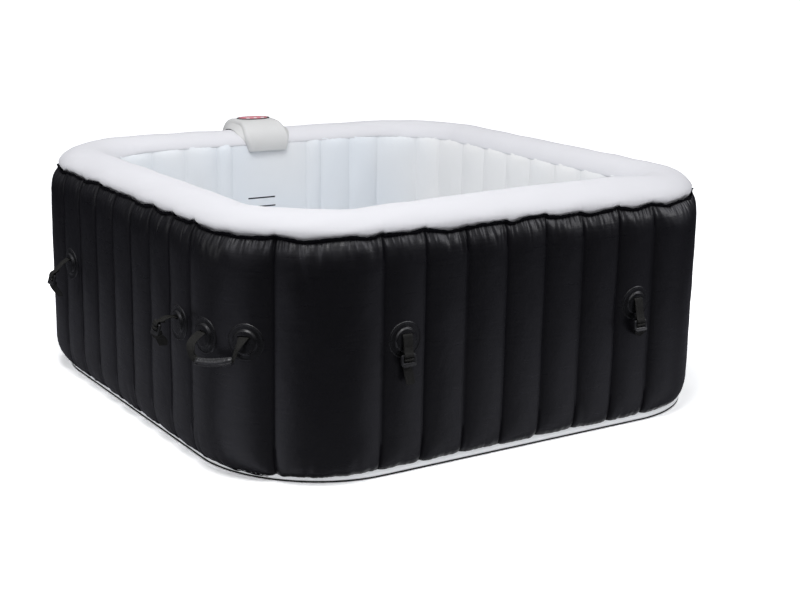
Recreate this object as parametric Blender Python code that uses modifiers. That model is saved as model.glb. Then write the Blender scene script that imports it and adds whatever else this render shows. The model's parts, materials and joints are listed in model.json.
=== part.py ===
"""Square four-place inflatable hot tub with a built-in pump, heater and bubble blower.

Metres, +Z up.  Origin: centre of the footprint on the ground.  The front is -Y, and the control
console sits on the middle of the back rim (+Y).  Positions round the wall are given by `run`, the
length along the wall from the middle of one side: side 0 is the front, 1 the right, 2 the back and
3 the left, and on each side `run` grows counter-clockwise as seen from above.
"""

import math

import bmesh
import bpy
from mathutils import Matrix, Vector

# ---------------------------------------------------------------- driving dimensions
STRAIGHT = 0.4225          # half of the straight stretch of a wall
GROOVE_HALF = 0.7605       # centre to an outer groove line, square to the wall
INNER_HALF = 0.597         # centre to an inner groove line
OUTER_R = GROOVE_HALF - STRAIGHT
INNER_R = INNER_HALF - STRAIGHT
FLUTES = 7                 # narrow outer flutes on each straight side
PITCH = 2 * STRAIGHT / FLUTES
NARROW_BULGE = 0.0065      # how far a narrow flute stands out of its groove line
WIDE_BULGE = 0.0150        # the same on the two wide panels of each corner
INNER_BULGE = 0.0095
SKIN = 0.0012              # coated fabric
RIM_SEAM_Z = 0.600         # where the black wall meets the white rim
INNER_SEAM_Z = 0.594
RIM_TOP_Z = 0.652
FOOT_SEAM_Z = 0.033
POCKET_HALF = 0.135        # flat inner panel in front of the equipment
CASE_X = (-0.120, 0.086)   # equipment case inside the back wall
CASE_Y = (0.6075, 0.7235)
CASE_Z = (0.012, 0.560)
CONSOLE_X = -0.010         # middle of the console
CONSOLE_HALF = 0.0775
ANCHOR_R = 0.0455          # welded disc that holds a strap
DOME_R = 0.030             # its raised middle
DOME_H = 0.0068
STRAP_RUN = 0.364          # cover strap, from the middle of a side
STRAP_Z = 0.343
STRAP_WIDTH = 0.028
STRAP_SLIT = 0.0145        # the slit above the disc's middle
STRAP_TAIL = 0.0760        # the bar to the end of the loose tail
HANDLE_ANGLES = (13.7, 34.0)   # the two handle discs, degrees round the corner
HANDLE_SLIT = 0.0145       # the handle's hinge line above the discs' middles
GRIP_ENDS = ((-0.0455, -0.0746), (0.0571, -0.0566))   # along and below the hinge line
HANDLE_REST = 33.0
GAP = 0.0008

# ---------------------------------------------------------------- scene and materials
for old in list(bpy.data.objects):
    bpy.data.objects.remove(old, do_unlink=True)


def collection(name):
    made = bpy.data.collections.new(name)
    bpy.context.scene.collection.children.link(made)
    return made


PARTS = collection("inflatable_hot_tub")
CUTTERS = collection("cutters")
CUTTERS.hide_render = True


def material(name, colour, roughness, metallic=0.0):
    made = bpy.data.materials.new(name)
    made.use_nodes = True
    shader = made.node_tree.nodes["Principled BSDF"]
    shader.inputs["Base Color"].default_value = (*colour, 1.0)
    shader.inputs["Roughness"].default_value = roughness
    shader.inputs["Metallic"].default_value = metallic
    made.diffuse_color = (*colour, 1.0)
    return made


BLACK_PVC = material("black_pvc", (0.012, 0.012, 0.014), 0.42)
WHITE_PVC = material("white_pvc", (0.86, 0.86, 0.89), 0.38)
INNER_PVC = material("inner_pvc", (0.80, 0.82, 0.87), 0.40)
WEB_PVC = material("web_pvc", (0.75, 0.77, 0.80), 0.55)
SHELL_GREY = material("console_grey", (0.72, 0.72, 0.72), 0.35)
PANEL_RED = material("panel_red", (0.55, 0.20, 0.24), 0.15)
KEY_WHITE = material("key_white", (0.80, 0.78, 0.78), 0.35)
CASE_BLACK = material("case_plastic", (0.05, 0.05, 0.055), 0.55)
PUMP_GREY = material("pump_grey", (0.25, 0.26, 0.28), 0.5)
STEEL = material("steel", (0.62, 0.63, 0.65), 0.28, 1.0)
BOARD_GREEN = material("board_green", (0.03, 0.20, 0.08), 0.5)
FITTING_WHITE = material("fitting_white", (0.82, 0.83, 0.85), 0.4)
FILTER_PAPER = material("filter_paper", (0.78, 0.82, 0.88), 0.8)
WEBBING = material("webbing", (0.015, 0.015, 0.016), 0.8)
BUCKLE_PLASTIC = material("buckle_plastic", (0.02, 0.02, 0.022), 0.4)
GRIP_PVC = material("grip_pvc", (0.025, 0.025, 0.028), 0.5)
RUBBER = material("cable_rubber", (0.03, 0.03, 0.03), 0.6)


# ---------------------------------------------------------------- helpers
def add(name, mesh, mat, where=PARTS, parent=None, at=(0, 0, 0), turn=None):
    obj = bpy.data.objects.new(name, mesh)
    where.objects.link(obj)
    if mat is not None and not mesh.materials:
        mesh.materials.append(mat)
    obj.parent = parent
    obj.location = at
    if turn is not None:
        obj.rotation_euler = turn
    return obj


def smooth(obj, degrees=35):
    obj.data.shade_smooth()
    obj.data.set_sharp_from_angle(angle=math.radians(degrees))
    return obj


def empty(name, at, turn):
    made = bpy.data.objects.new(name, None)
    made.empty_display_size = 0.02
    PARTS.objects.link(made)
    made.location = at
    made.rotation_euler = turn
    return made


def finished(bm, name):
    bmesh.ops.recalc_face_normals(bm, faces=bm.faces)
    mesh = bpy.data.meshes.new(name)
    bm.to_mesh(mesh)
    bm.free()
    return mesh


def box_mesh(name, low, high):
    bm = bmesh.new()
    bmesh.ops.create_cube(bm, size=1.0)
    size = [h - l for l, h in zip(low, high)]
    middle = [(l + h) / 2 for l, h in zip(low, high)]
    bmesh.ops.scale(bm, vec=size, verts=bm.verts)
    bmesh.ops.translate(bm, vec=middle, verts=bm.verts)
    return finished(bm, name)


def rod_mesh(name, radius, start, end, sides=20):
    """A plain cylinder between two points."""
    start, end = Vector(start), Vector(end)
    bm = bmesh.new()
    bmesh.ops.create_cone(
        bm, cap_ends=True, segments=sides, radius1=radius, radius2=radius,
        depth=(end - start).length,
    )
    aim = (end - start).to_track_quat("Z", "Y").to_matrix().to_4x4()
    bmesh.ops.transform(bm, matrix=Matrix.Translation((start + end) / 2) @ aim, verts=bm.verts)
    return finished(bm, name)


def turned_mesh(name, profile, sides=20):
    """A closed profile of (radius, height) turned about Z; radius 0 closes on the axis."""
    bm = bmesh.new()
    rings = []
    for radius, height in profile:
        if radius == 0:
            rings.append([bm.verts.new((0, 0, height))] * sides)
        else:
            rings.append([
                bm.verts.new((radius * math.cos(2 * math.pi * i / sides),
                              radius * math.sin(2 * math.pi * i / sides), height))
                for i in range(sides)
            ])
    closed = profile[0][0] != 0
    pairs = list(zip(rings, rings[1:])) + ([(rings[-1], rings[0])] if closed else [])
    for lower, upper in pairs:
        for i in range(sides):
            j = (i + 1) % sides
            corners = []
            for vert in (lower[i], lower[j], upper[j], upper[i]):
                if vert not in corners:
                    corners.append(vert)
            if len(corners) > 2:
                bm.faces.new(corners)
    return finished(bm, name)


def outline_mesh(name, points, half_thickness):
    """A flat closed outline in XY, made solid about Z = 0 with a filled 2D curve."""
    curve = bpy.data.curves.new(name, "CURVE")
    curve.dimensions = "2D"
    curve.fill_mode = "BOTH"
    curve.extrude = half_thickness
    spline = curve.splines.new("POLY")
    spline.points.add(len(points) - 1)
    for point, (x, y) in zip(spline.points, points):
        point.co = (x, y, 0, 1)
    spline.use_cyclic_u = True
    holder = bpy.data.objects.new(name, curve)
    CUTTERS.objects.link(holder)
    bpy.context.view_layer.update()
    mesh = bpy.data.meshes.new_from_object(
        holder.evaluated_get(bpy.context.evaluated_depsgraph_get()))
    bpy.data.objects.remove(holder, do_unlink=True)
    bm = bmesh.new()
    bm.from_mesh(mesh)
    bmesh.ops.remove_doubles(bm, verts=bm.verts, dist=1e-5)
    bpy.data.meshes.remove(mesh)
    return finished(bm, name)


def turned_to(mesh, matrix):
    mesh.transform(matrix)
    return mesh


def cut(obj, cutter_mesh, operation="DIFFERENCE"):
    cutter = add(obj.name + "_cut%d" % len(obj.modifiers), cutter_mesh, None, CUTTERS)
    cutter.hide_render = True
    cutter.display_type = "WIRE"
    cutter.parent = obj.parent
    cutter.location = obj.location
    cutter.rotation_euler = obj.rotation_euler
    modifier = obj.modifiers.new("cut_%d" % len(obj.modifiers), "BOOLEAN")
    modifier.operation = operation
    modifier.object = cutter
    modifier.solver = "EXACT"
    return cutter


def soften(obj, width, segments=2):
    modifier = obj.modifiers.new("edges", "BEVEL")
    modifier.width = width
    modifier.segments = segments
    modifier.limit_method = "ANGLE"
    modifier.angle_limit = math.radians(40)
    return obj


# ---------------------------------------------------------------- the wall's outline
class Outline:
    """A square with round corners; u is the length round it, side by side, from each corner's middle."""

    def __init__(self, half, radius):
        self.half, self.radius = half, radius
        self.straight = half - radius
        self.quarter = 2 * self.straight + radius * math.pi / 2

    def at(self, side, run):
        return side * self.quarter + self.quarter / 2 + run

    def point(self, u, out=0.0, z=0.0):
        u %= 4 * self.quarter
        side = int(u // self.quarter)
        run = u - side * self.quarter - self.quarter / 2
        if abs(run) <= self.straight:
            x, y, nx, ny = run, -self.half, 0.0, -1.0
        else:
            phi = (abs(run) - self.straight) / self.radius
            sign = math.copysign(1, run)
            nx, ny = sign * math.sin(phi), -math.cos(phi)
            x, y = sign * self.straight + self.radius * nx, -self.straight + self.radius * ny
        x, y = x + nx * out, y + ny * out
        for _ in range(side):
            x, y, nx, ny = -y, x, -ny, nx
        return Vector((x, y, z)), Vector((nx, ny, 0.0))


OUTER = Outline(GROOVE_HALF, OUTER_R)
INNER = Outline(INNER_HALF, INNER_R)
CORNER_RUN = INNER.quarter / 2


def outer_grooves():
    """Groove positions with the bulge of the panel that follows each one."""
    found = []
    for side in range(4):
        for i in range(FLUTES + 1):
            run = -STRAIGHT + i * PITCH
            flat = side == 2 and abs(run) < 1.2 * PITCH
            if flat:
                continue
            bulge = WIDE_BULGE if i == FLUTES else NARROW_BULGE
            found.append((OUTER.at(side, run), bulge))
        found.append((OUTER.at(side, OUTER.quarter / 2), WIDE_BULGE))
    return sorted(found)


def inner_grooves():
    found = []
    for side in (0, 1, 3):
        found += [(INNER.at(side, i * PITCH), INNER_BULGE) for i in range(-4, 5)]
    for run in (-0.5505, -0.41, -0.30, -0.19, -POCKET_HALF, POCKET_HALF, 0.19, 0.30, 0.41, 0.5505):
        found.append((INNER.at(2, run), INNER_BULGE))
    return sorted(found)


def bulge_at(outline, grooves, u):
    total = 4 * outline.quarter
    starts = grooves
    for index, (start, bulge) in enumerate(starts):
        end = starts[(index + 1) % len(starts)][0]
        length = (end - start) % total
        along = (u - start) % total
        if along < length:
            t = along / length
            flat = length > 2.5 * PITCH or (outline is INNER and abs(length - 2 * POCKET_HALF) < 1e-3)
            return (0.3 if flat else 1.0) * 4 * bulge * t * (1 - t)
    return 0.0


def stations(outline, grooves, narrow, wide):
    total = 4 * outline.quarter
    found = []
    for index, (start, bulge) in enumerate(grooves):
        end = grooves[(index + 1) % len(grooves)][0]
        length = (end - start) % total
        count = wide if length > 1.15 * PITCH else narrow
        for k in range(count):
            u = (start + length * k / count) % total
            found.append((u, bulge_at(outline, grooves, u + 1e-7)))
    return sorted(found)


def ring_sheet(name, outline, columns, profile, mat, thickness, side=1.0, closed_middle=False):
    """A sheet swept round the outline.  profile rows are (out, z, share of the bulge)."""
    bm = bmesh.new()
    rows = []
    for out, z, share in profile:
        rows.append([bm.verts.new(outline.point(u, side * (out + bulge * share), z)[0])
                     for u, bulge in columns])
    count = len(columns)
    for lower, upper in zip(rows, rows[1:]):
        for i in range(count):
            j = (i + 1) % count
            bm.faces.new((lower[i], lower[j], upper[j], upper[i]))
    if closed_middle:
        bm.faces.new(list(reversed(rows[0])))
    mesh = bpy.data.meshes.new(name)
    bm.to_mesh(mesh)
    bm.free()
    obj = add(name, mesh, mat)
    modifier = obj.modifiers.new("skin", "SOLIDIFY")
    modifier.thickness = thickness
    modifier.offset = -1.0
    modifier.use_even_offset = False
    return smooth(obj, 50)


def plain_stations(outline, corner_steps=8, straight_steps=2):
    found = []
    for side in range(4):
        for k in range(straight_steps):
            found.append((outline.at(side, -outline.straight + 2 * outline.straight * k / straight_steps), 0.0))
        for k in range(corner_steps):
            found.append((outline.at(side, outline.straight + outline.radius * math.pi / 2 * k / corner_steps) % (4 * outline.quarter), 0.0))
    return sorted(found)


# ---------------------------------------------------------------- inflated shell
OUT_GROOVES, IN_GROOVES = outer_grooves(), inner_grooves()

outer_wall = ring_sheet(
    "outer_wall", OUTER, stations(OUTER, OUT_GROOVES, 2, 4),
    [(-0.026, FOOT_SEAM_Z + 0.0015, 0.0), (-0.006, 0.062, 0.6), (0.0, 0.105, 1.0),
     (0.0, 0.540, 1.0), (-0.006, RIM_SEAM_Z - 0.001, 0.45)],
    BLACK_PVC, SKIN)

# The inner wall bulges towards the basin, so its outline is offset the other way round.
inner_wall = ring_sheet(
    "inner_wall", INNER, stations(INNER, IN_GROOVES, 2, 3),
    [(0.0, INNER_SEAM_Z - 0.001, 0.35), (0.0, 0.545, 1.0), (0.0, 0.085, 1.0), (-0.004, 0.030, 0.5),
     (-0.008, 0.0045, 0.0)],
    INNER_PVC, SKIN, side=-1.0)

RIM_PROFILE = [(-0.0035, RIM_SEAM_Z), (-0.0030, 0.620), (-0.0180, 0.640), (-0.0480, 0.6505),
               (-0.0850, RIM_TOP_Z), (-0.1220, 0.6470), (-0.1500, 0.6330), (-0.1640, 0.6130),
               (-0.1655, INNER_SEAM_Z)]
top_rim = ring_sheet("top_rim", OUTER, plain_stations(OUTER, 6, 1),
                     [(out, z, 0.0) for out, z in RIM_PROFILE], WHITE_PVC, SKIN)

base_sheet = ring_sheet("base_sheet", OUTER, plain_stations(OUTER, 6, 1),
                        [(-0.0560, 0.0, 0.0), (-0.0400, 0.0030, 0.0), (-0.0330, 0.0130, 0.0),
                         (-0.0290, FOOT_SEAM_Z, 0.0)],
                        WHITE_PVC, SKIN, closed_middle=True)

bubble_channel = ring_sheet("bubble_channel", INNER, plain_stations(INNER, 5, 1),
                            [(-0.0140, 0.040, 0.0), (-0.0265, 0.036, 0.0), (-0.0355, 0.024, 0.0),
                             (-0.0375, 0.0035, 0.0)],
                            INNER_PVC, SKIN)


def web_path():
    """The zig-zag web: inner and outer grooves in turn, from one side of the equipment pocket to the other."""
    total = 4 * OUTER.quarter
    begin = OUTER.at(2, POCKET_HALF * 0.9) / total
    marks = []
    for u, _ in OUT_GROOVES:
        marks.append(((u / total - begin) % 1.0, OUTER.point(u, -0.006)[0]))
    for u, _ in IN_GROOVES:
        side, run = int(u // INNER.quarter), u % INNER.quarter - INNER.quarter / 2
        if side == 2 and abs(abs(run) - 0.5505) < 1e-6:
            continue
        same = u / (4 * INNER.quarter)
        # inner corners are shorter, so a mark is compared at the outer outline's scale
        if abs(run) > STRAIGHT:
            run = math.copysign(STRAIGHT + (abs(run) - STRAIGHT) * OUTER_R / INNER_R, run)
        same = OUTER.at(side, run) / total
        marks.append(((same - begin) % 1.0, INNER.point(u, 0.006)[0]))
    marks.sort(key=lambda mark: mark[0])
    return [point for _, point in marks]


def baffle():
    bm = bmesh.new()
    lower = [bm.verts.new((p.x, p.y, 0.075)) for p in web_path()]
    upper = [bm.verts.new((v.co.x, v.co.y, 0.530)) for v in lower]
    for i in range(len(lower) - 1):
        bm.faces.new((lower[i], lower[i + 1], upper[i + 1], upper[i]))
    mesh = bpy.data.meshes.new("baffle_web")
    bm.to_mesh(mesh)
    bm.free()
    obj = add("baffle_web", mesh, WEB_PVC)
    modifier = obj.modifiers.new("skin", "SOLIDIFY")
    modifier.thickness = 0.0010
    modifier.offset = 0.0
    return obj


baffle_web = baffle()

# ---------------------------------------------------------------- equipment behind the flat panel
case = add("equipment_case", box_mesh("equipment_case", (CASE_X[0], CASE_Y[0], CASE_Z[0]),
                                      (CASE_X[1], CASE_Y[1], CASE_Z[1])), CASE_BLACK)
soften(case, 0.0035, 1)
cut(case, box_mesh("case_hollow", (CASE_X[0] + 0.003, CASE_Y[0] + 0.003, CASE_Z[0] + 0.003),
                   (CASE_X[1] - 0.003, CASE_Y[1] - 0.003, CASE_Z[1] + 0.02)))

SUCTION = Vector((-0.062, 0.0, 0.175))     # pipe stubs that pass through the flat panel
RETURN = Vector((0.048, 0.0, 0.300))
DRAIN = Vector((0.1115, 0.0, 0.068))
AIR_VALVE = Vector((0.148, 0.0, 0.455))
CABLE = Vector((-0.060, 0.0, 0.090))


def across(point, y0, y1):
    return (point.x, y0, point.z), (point.x, y1, point.z)


cut(case, rod_mesh("suction_hole", 0.0168, *across(SUCTION, 0.60, 0.615), 16))
cut(case, rod_mesh("return_hole", 0.0133, *across(RETURN, 0.60, 0.615), 16))
cut(case, rod_mesh("cable_hole", 0.0052, *across(CABLE, 0.715, 0.73), 12))
cut(inner_wall, rod_mesh("suction_pass", 0.0168, *across(SUCTION, 0.57, 0.61), 16))
cut(inner_wall, rod_mesh("return_pass", 0.0133, *across(RETURN, 0.57, 0.61), 16))
cut(inner_wall, rod_mesh("drain_pass", 0.0124, *across(DRAIN, 0.57, 0.61), 16))
cut(outer_wall, rod_mesh("drain_out", 0.0124, *across(DRAIN, 0.74, 0.79), 16))
cut(outer_wall, rod_mesh("air_valve_pass", 0.0169, *across(AIR_VALVE, 0.74, 0.79), 16))
cut(outer_wall, rod_mesh("cable_pass", 0.0052, *across(CABLE, 0.74, 0.79), 12))

ALONG_Y = Matrix.Rotation(math.radians(-90), 4, "X")      # local +Z becomes +Y
AGAINST_Y = Matrix.Rotation(math.radians(90), 4, "X")     # local +Z becomes -Y

# water pump: a volute cup with a suction mouth, and its motor behind
PUMP_Y = 0.6350
pump_profile = [(0.0168, 0.0), (0.0440, 0.0), (0.0440, 0.0350), (0.0330, 0.0420), (0.0330, 0.0820),
                (0.0, 0.0820)]
pump_cavity = [(0.0, 0.0300), (0.0400, 0.0300), (0.0400, 0.0030), (0.0168, 0.0030)]


def turned_shell(name, outside, inside, sides=20):
    """An open cup: the outside from its mouth to the far axis, then the inside back to the mouth."""
    bm = bmesh.new()
    count = sides

    def ring(radius, height):
        if radius == 0:
            vert = bm.verts.new((0, 0, height))
            return [vert] * count
        return [bm.verts.new((radius * math.cos(2 * math.pi * i / count),
                              radius * math.sin(2 * math.pi * i / count), height)) for i in range(count)]

    outer_rings = [ring(*p) for p in outside]
    inner_rings = [ring(*p) for p in inside]
    chains = [outer_rings, inner_rings]
    for rings in chains:
        for lower, upper in zip(rings, rings[1:]):
            for i in range(count):
                j = (i + 1) % count
                corners = []
                for vert in (lower[i], lower[j], upper[j], upper[i]):
                    if vert not in corners:
                        corners.append(vert)
                bm.faces.new(corners)
    mouth_in, mouth_out = inner_rings[-1], outer_rings[0]
    for i in range(count):
        j = (i + 1) % count
        bm.faces.new((mouth_in[i], mouth_in[j], mouth_out[j], mouth_out[i]))
    return finished(bm, name)


pump_body = smooth(add("pump_body", turned_to(turned_shell("pump_body", pump_profile, pump_cavity), ALONG_Y),
                       PUMP_GREY, at=(SUCTION.x, PUMP_Y, SUCTION.z)))


def paddle_points(tip, root, blades, width):
    """Outline of a paddle wheel: straight blades on a round hub."""
    found = []
    for k in range(blades):
        angle = 2 * math.pi * k / blades
        across_half = width / 2
        gap_half = math.asin(min(0.9, across_half / root))
        tip_half = math.asin(across_half / tip)
        for radius, a in ((root, angle - gap_half), (tip, angle - tip_half), (tip, angle + tip_half),
                          (root, angle + gap_half)):
            found.append((radius * math.cos(a), radius * math.sin(a)))
        middle = angle + math.pi / blades
        found.append((root * math.cos(middle), root * math.sin(middle)))
    return found


impeller_mesh = turned_to(outline_mesh("pump_impeller", paddle_points(0.037, 0.011, 6, 0.004), 0.006), ALONG_Y)
pump_impeller = add("pump_impeller", impeller_mesh, FITTING_WHITE, at=(SUCTION.x, PUMP_Y + 0.0165, SUCTION.z))

# air blower for the bubbles, high in the case
BLOWER = Vector((-0.052, 0.628, 0.455))
blower_profile = [(0.0200, 0.0), (0.0500, 0.0), (0.0500, 0.0500), (0.0360, 0.0580), (0.0360, 0.0900),
                  (0.0, 0.0900)]
blower_cavity = [(0.0, 0.0440), (0.0460, 0.0440), (0.0460, 0.0030), (0.0200, 0.0030)]
air_blower = smooth(add("air_blower", turned_to(turned_shell("air_blower", blower_profile, blower_cavity), ALONG_Y),
                        CASE_BLACK, at=BLOWER))
fan_mesh = turned_to(outline_mesh("blower_fan", paddle_points(0.043, 0.015, 8, 0.003), 0.0125), ALONG_Y)
blower_fan = add("blower_fan", fan_mesh, FITTING_WHITE, at=BLOWER + Vector((0, 0.0235, 0)))

# heater: a steel tube the water is pumped through
heater_mesh = turned_mesh("heater_tube", [
    (0.0105, 0.000), (0.0130, 0.000), (0.0130, 0.018), (0.0225, 0.022), (0.0225, 0.148), (0.0130, 0.152),
    (0.0130, 0.170), (0.0105, 0.170)], 16)
heater_tube = smooth(add("heater_tube", turned_to(heater_mesh, Matrix.Rotation(math.radians(90), 4, "Y")),
                         STEEL, at=(-0.102, 0.682, 0.300)))

# controller board under the display
circuit_board = add("circuit_board", box_mesh("circuit_board", (-0.045, -0.024, 0), (0.045, 0.024, 0.0016)),
                    BOARD_GREEN, at=(CONSOLE_X, 0.6800, 0.6610))

# ---------------------------------------------------------------- fittings in the basin
suction_fitting = smooth(add("suction_fitting", turned_to(turned_mesh("suction_fitting", [
    (0.0110, -0.0450), (0.0160, -0.0450), (0.0160, -0.0105), (0.0330, -0.0105), (0.0330, 0.0050),
    (0.0160, 0.0090), (0.0160, 0.0250), (0.0110, 0.0250)], 16), AGAINST_Y), FITTING_WHITE,
    at=(SUCTION.x, 0.5820, SUCTION.z)))


def pleats(radius, depth, count):
    return [((radius - (depth if i % 2 else 0)) * math.cos(math.pi * i / count),
             (radius - (depth if i % 2 else 0)) * math.sin(math.pi * i / count)) for i in range(2 * count)]


cartridge = add("filter_cartridge", turned_to(outline_mesh("filter_cartridge", pleats(0.0500, 0.0060, 24), 0.0300),
                                              AGAINST_Y), FILTER_PAPER, at=(SUCTION.x, 0.5420, SUCTION.z))
cut(cartridge, rod_mesh("cartridge_core", 0.0200, (0, -0.032, 0), (0, 0.032, 0), 16))
filter_cap = smooth(add("filter_cap", turned_to(turned_mesh("filter_cap", [
    (0.0, 0.0), (0.0530, 0.0), (0.0540, 0.0030), (0.0520, 0.0080), (0.0300, 0.0105), (0.0, 0.0110)], 20),
    AGAINST_Y), FITTING_WHITE, at=(SUCTION.x, 0.5100, SUCTION.z)))
return_fitting = smooth(add("return_fitting", turned_to(turned_mesh("return_fitting", [
    (0.0090, -0.0450), (0.0125, -0.0450), (0.0125, -0.0105), (0.0290, -0.0105), (0.0290, 0.0050),
    (0.0180, 0.0110), (0.0090, 0.0110)], 16), AGAINST_Y), FITTING_WHITE, at=(RETURN.x, 0.5820, RETURN.z)))

# ---------------------------------------------------------------- valves on the back wall
OUTER_FACE = GROOVE_HALF + 0.0055
air_valve = smooth(add("air_valve", turned_to(turned_mesh("air_valve", [
    (0.0120, -0.0220), (0.0160, -0.0220), (0.0160, 0.0000), (0.0300, 0.0000), (0.0300, 0.0020),
    (0.0190, 0.0040), (0.0190, 0.0100), (0.0120, 0.0100)], 16), ALONG_Y), CASE_BLACK,
    at=(AIR_VALVE.x, OUTER_FACE, AIR_VALVE.z)))
CAP_HINGE_Z = AIR_VALVE.z + 0.0225
cap_hinge = empty("air_valve_cap_hinge", (AIR_VALVE.x, OUTER_FACE + 0.0125, CAP_HINGE_Z), (0, 0, 0))
air_valve_cap = smooth(add("air_valve_cap", turned_to(turned_mesh("air_valve_cap", [
    (0.0, -0.0080), (0.0085, -0.0080), (0.0095, -0.0008), (0.0200, -0.0008), (0.0205, 0.0040), (0.0, 0.0050)],
    16), Matrix.Translation((0, 0, AIR_VALVE.z - CAP_HINGE_Z)) @ ALONG_Y), CASE_BLACK, parent=cap_hinge,
    at=(0, -0.0012, 0)))

drain_valve = smooth(add("drain_valve", turned_to(turned_mesh("drain_valve", [
    (0.0085, -0.1840), (0.0220, -0.1840), (0.0220, -0.1815), (0.0118, -0.1815), (0.0118, 0.0000),
    (0.0230, 0.0000), (0.0230, 0.0020), (0.0135, 0.0030), (0.0135, 0.0200), (0.0085, 0.0200)], 16), ALONG_Y),
    CASE_BLACK, at=(DRAIN.x, OUTER_FACE, DRAIN.z)))
drain_cap = smooth(add("drain_cap", turned_to(turned_shell("drain_cap", [
    (0.0175, 0.0), (0.0175, 0.0185), (0.0, 0.0185)], [(0.0, 0.0160), (0.0142, 0.0160), (0.0142, 0.0)], 16),
    ALONG_Y), CASE_BLACK, at=(DRAIN.x, OUTER_FACE + 0.0048, DRAIN.z)))

# ---------------------------------------------------------------- console on the rim
CONSOLE_SIDE = [(0.5830, 0.5870), (0.5840, 0.6150), (0.5990, 0.6480), (0.6290, 0.6740), (0.6600, 0.6810),
                (0.7300, 0.6810), (0.7580, 0.6680), (0.7760, 0.6380), (0.7790, 0.6120)]


def inset(points, amount):
    """The side profile drawn in by a wall thickness, towards the middle of the rim."""
    middle = Vector((0.6810, 0.6000))
    found = []
    for y, z in points:
        away = Vector((y, z)) - middle
        found.append(tuple(middle + away * (1 - amount / away.length)))
    return found


def across_x(name, side_points, low, high):
    """A side profile of (y, z) points made solid between two x positions."""
    mesh = outline_mesh(name, side_points, (high - low) / 2)
    matrix = Matrix(((0, 0, 1, (low + high) / 2), (1, 0, 0, 0), (0, 1, 0, 0), (0, 0, 0, 1)))
    return turned_to(mesh, matrix)


def rim_clearance():
    """Space for the rim under the console, drawn proud of it."""
    found = []
    for out, z in RIM_PROFILE:
        y = GROOVE_HALF + out
        away = Vector((y - 0.6790, z - 0.6000))
        away *= 1 + 0.0022 / max(away.length, 0.02)
        found.append((0.6790 + away.x, 0.6000 + away.y))
    # below the seams the flutes stand out, so the space widens with them
    return [(GROOVE_HALF + 0.0150, 0.55), (GROOVE_HALF + 0.0070, 0.598)] + found + [
        (INNER_HALF - 0.0075, 0.590), (INNER_HALF - 0.0125, 0.575), (INNER_HALF - 0.0125, 0.55)]


console = add("console_shell", across_x("console_shell", CONSOLE_SIDE + [(0.7790, 0.5950), (0.6800, 0.5600)],
                                        CONSOLE_X - CONSOLE_HALF, CONSOLE_X + CONSOLE_HALF), SHELL_GREY)
soften(console, 0.012, 2)
cut(console, across_x("rim_space", rim_clearance(), CONSOLE_X - 0.1, CONSOLE_X + 0.1))
cut(console, across_x("console_hollow", inset(CONSOLE_SIDE, 0.0030) + [(0.7600, 0.5700), (0.6000, 0.5700)],
                      CONSOLE_X - CONSOLE_HALF + 0.0035, CONSOLE_X + CONSOLE_HALF - 0.0035))
DISPLAY_Y = 0.6950
DISPLAY_RX, DISPLAY_RY = 0.0560, 0.0330


def oval(rx, ry, count=28):
    return [(rx * math.cos(2 * math.pi * i / count), ry * math.sin(2 * math.pi * i / count)) for i in range(count)]


cut(console, turned_to(outline_mesh("display_window", oval(DISPLAY_RX - 0.004, DISPLAY_RY - 0.004), 0.02),
                       Matrix.Translation((CONSOLE_X, DISPLAY_Y, 0.681))))
smooth(console)

display = add("display_lens", outline_mesh("display_lens", oval(DISPLAY_RX, DISPLAY_RY), 0.0012), PANEL_RED,
              at=(CONSOLE_X, DISPLAY_Y, 0.6826))
BUTTON_R = 0.0062
for index, key in enumerate(("power_button", "heat_button", "bubble_button")):
    x = (index - 1) * 0.026
    cut(display, turned_to(rod_mesh(key + "_hole", BUTTON_R + 0.0005, (x, -0.0140, -0.005), (x, -0.0140, 0.005), 16),
                           Matrix.Identity(4)))
    button = smooth(add(key, turned_mesh(key, [(0.0, -0.0035), (BUTTON_R, -0.0035), (BUTTON_R, 0.0020),
                                               (BUTTON_R - 0.0012, 0.0028), (0.0, 0.0028)], 14), KEY_WHITE,
                        at=(CONSOLE_X + x, DISPLAY_Y - 0.0140, 0.6826)))

# the rim is opened under the console, where the case's wires come up
cut(top_rim, box_mesh("rim_opening", (CONSOLE_X - 0.05, 0.655, 0.62), (CONSOLE_X + 0.05, 0.705, 0.68)))

# ---------------------------------------------------------------- power cable, tied in a coil at the back
def cable_points():
    """Out of the case and the back wall, round a hanging coil, then down to the plug."""
    y_wall = OUTER_FACE + 0.020
    found = [Vector((CABLE.x, 0.712, CABLE.z)), Vector((CABLE.x, 0.740, CABLE.z)),
             Vector((CABLE.x, y_wall, CABLE.z)), Vector((CABLE.x - 0.020, y_wall + 0.006, CABLE.z + 0.012))]
    centre_x, centre_z, radius = -0.230, 0.190, 0.085
    turns, steps = 3.25, 16
    start = math.radians(-40)
    for k in range(int(turns * steps) + 1):
        angle = start + 2 * math.pi * k / steps
        y = y_wall + 0.0015 + 0.0076 * k / steps
        found.append(Vector((centre_x + radius * math.cos(angle), y, centre_z + radius * math.sin(angle))))
    last = found[-1]
    found.append(last + Vector((-0.030, 0.003, 0.000)))
    found.append(last + Vector((-0.050, 0.000, -0.016)))
    found.append(last + Vector((-0.055, -0.004, -0.040)))
    return found


CABLE_PATH = cable_points()
curve = bpy.data.curves.new("power_cable", "CURVE")
curve.dimensions = "3D"
curve.bevel_depth = 0.0035
curve.bevel_resolution = 1
curve.use_fill_caps = True
spline = curve.splines.new("POLY")
spline.points.add(len(CABLE_PATH) - 1)
for point, place in zip(spline.points, CABLE_PATH):
    point.co = (*place, 1)
curve.materials.append(RUBBER)
power_cable = bpy.data.objects.new("power_cable", curve)
PARTS.objects.link(power_cable)

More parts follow.
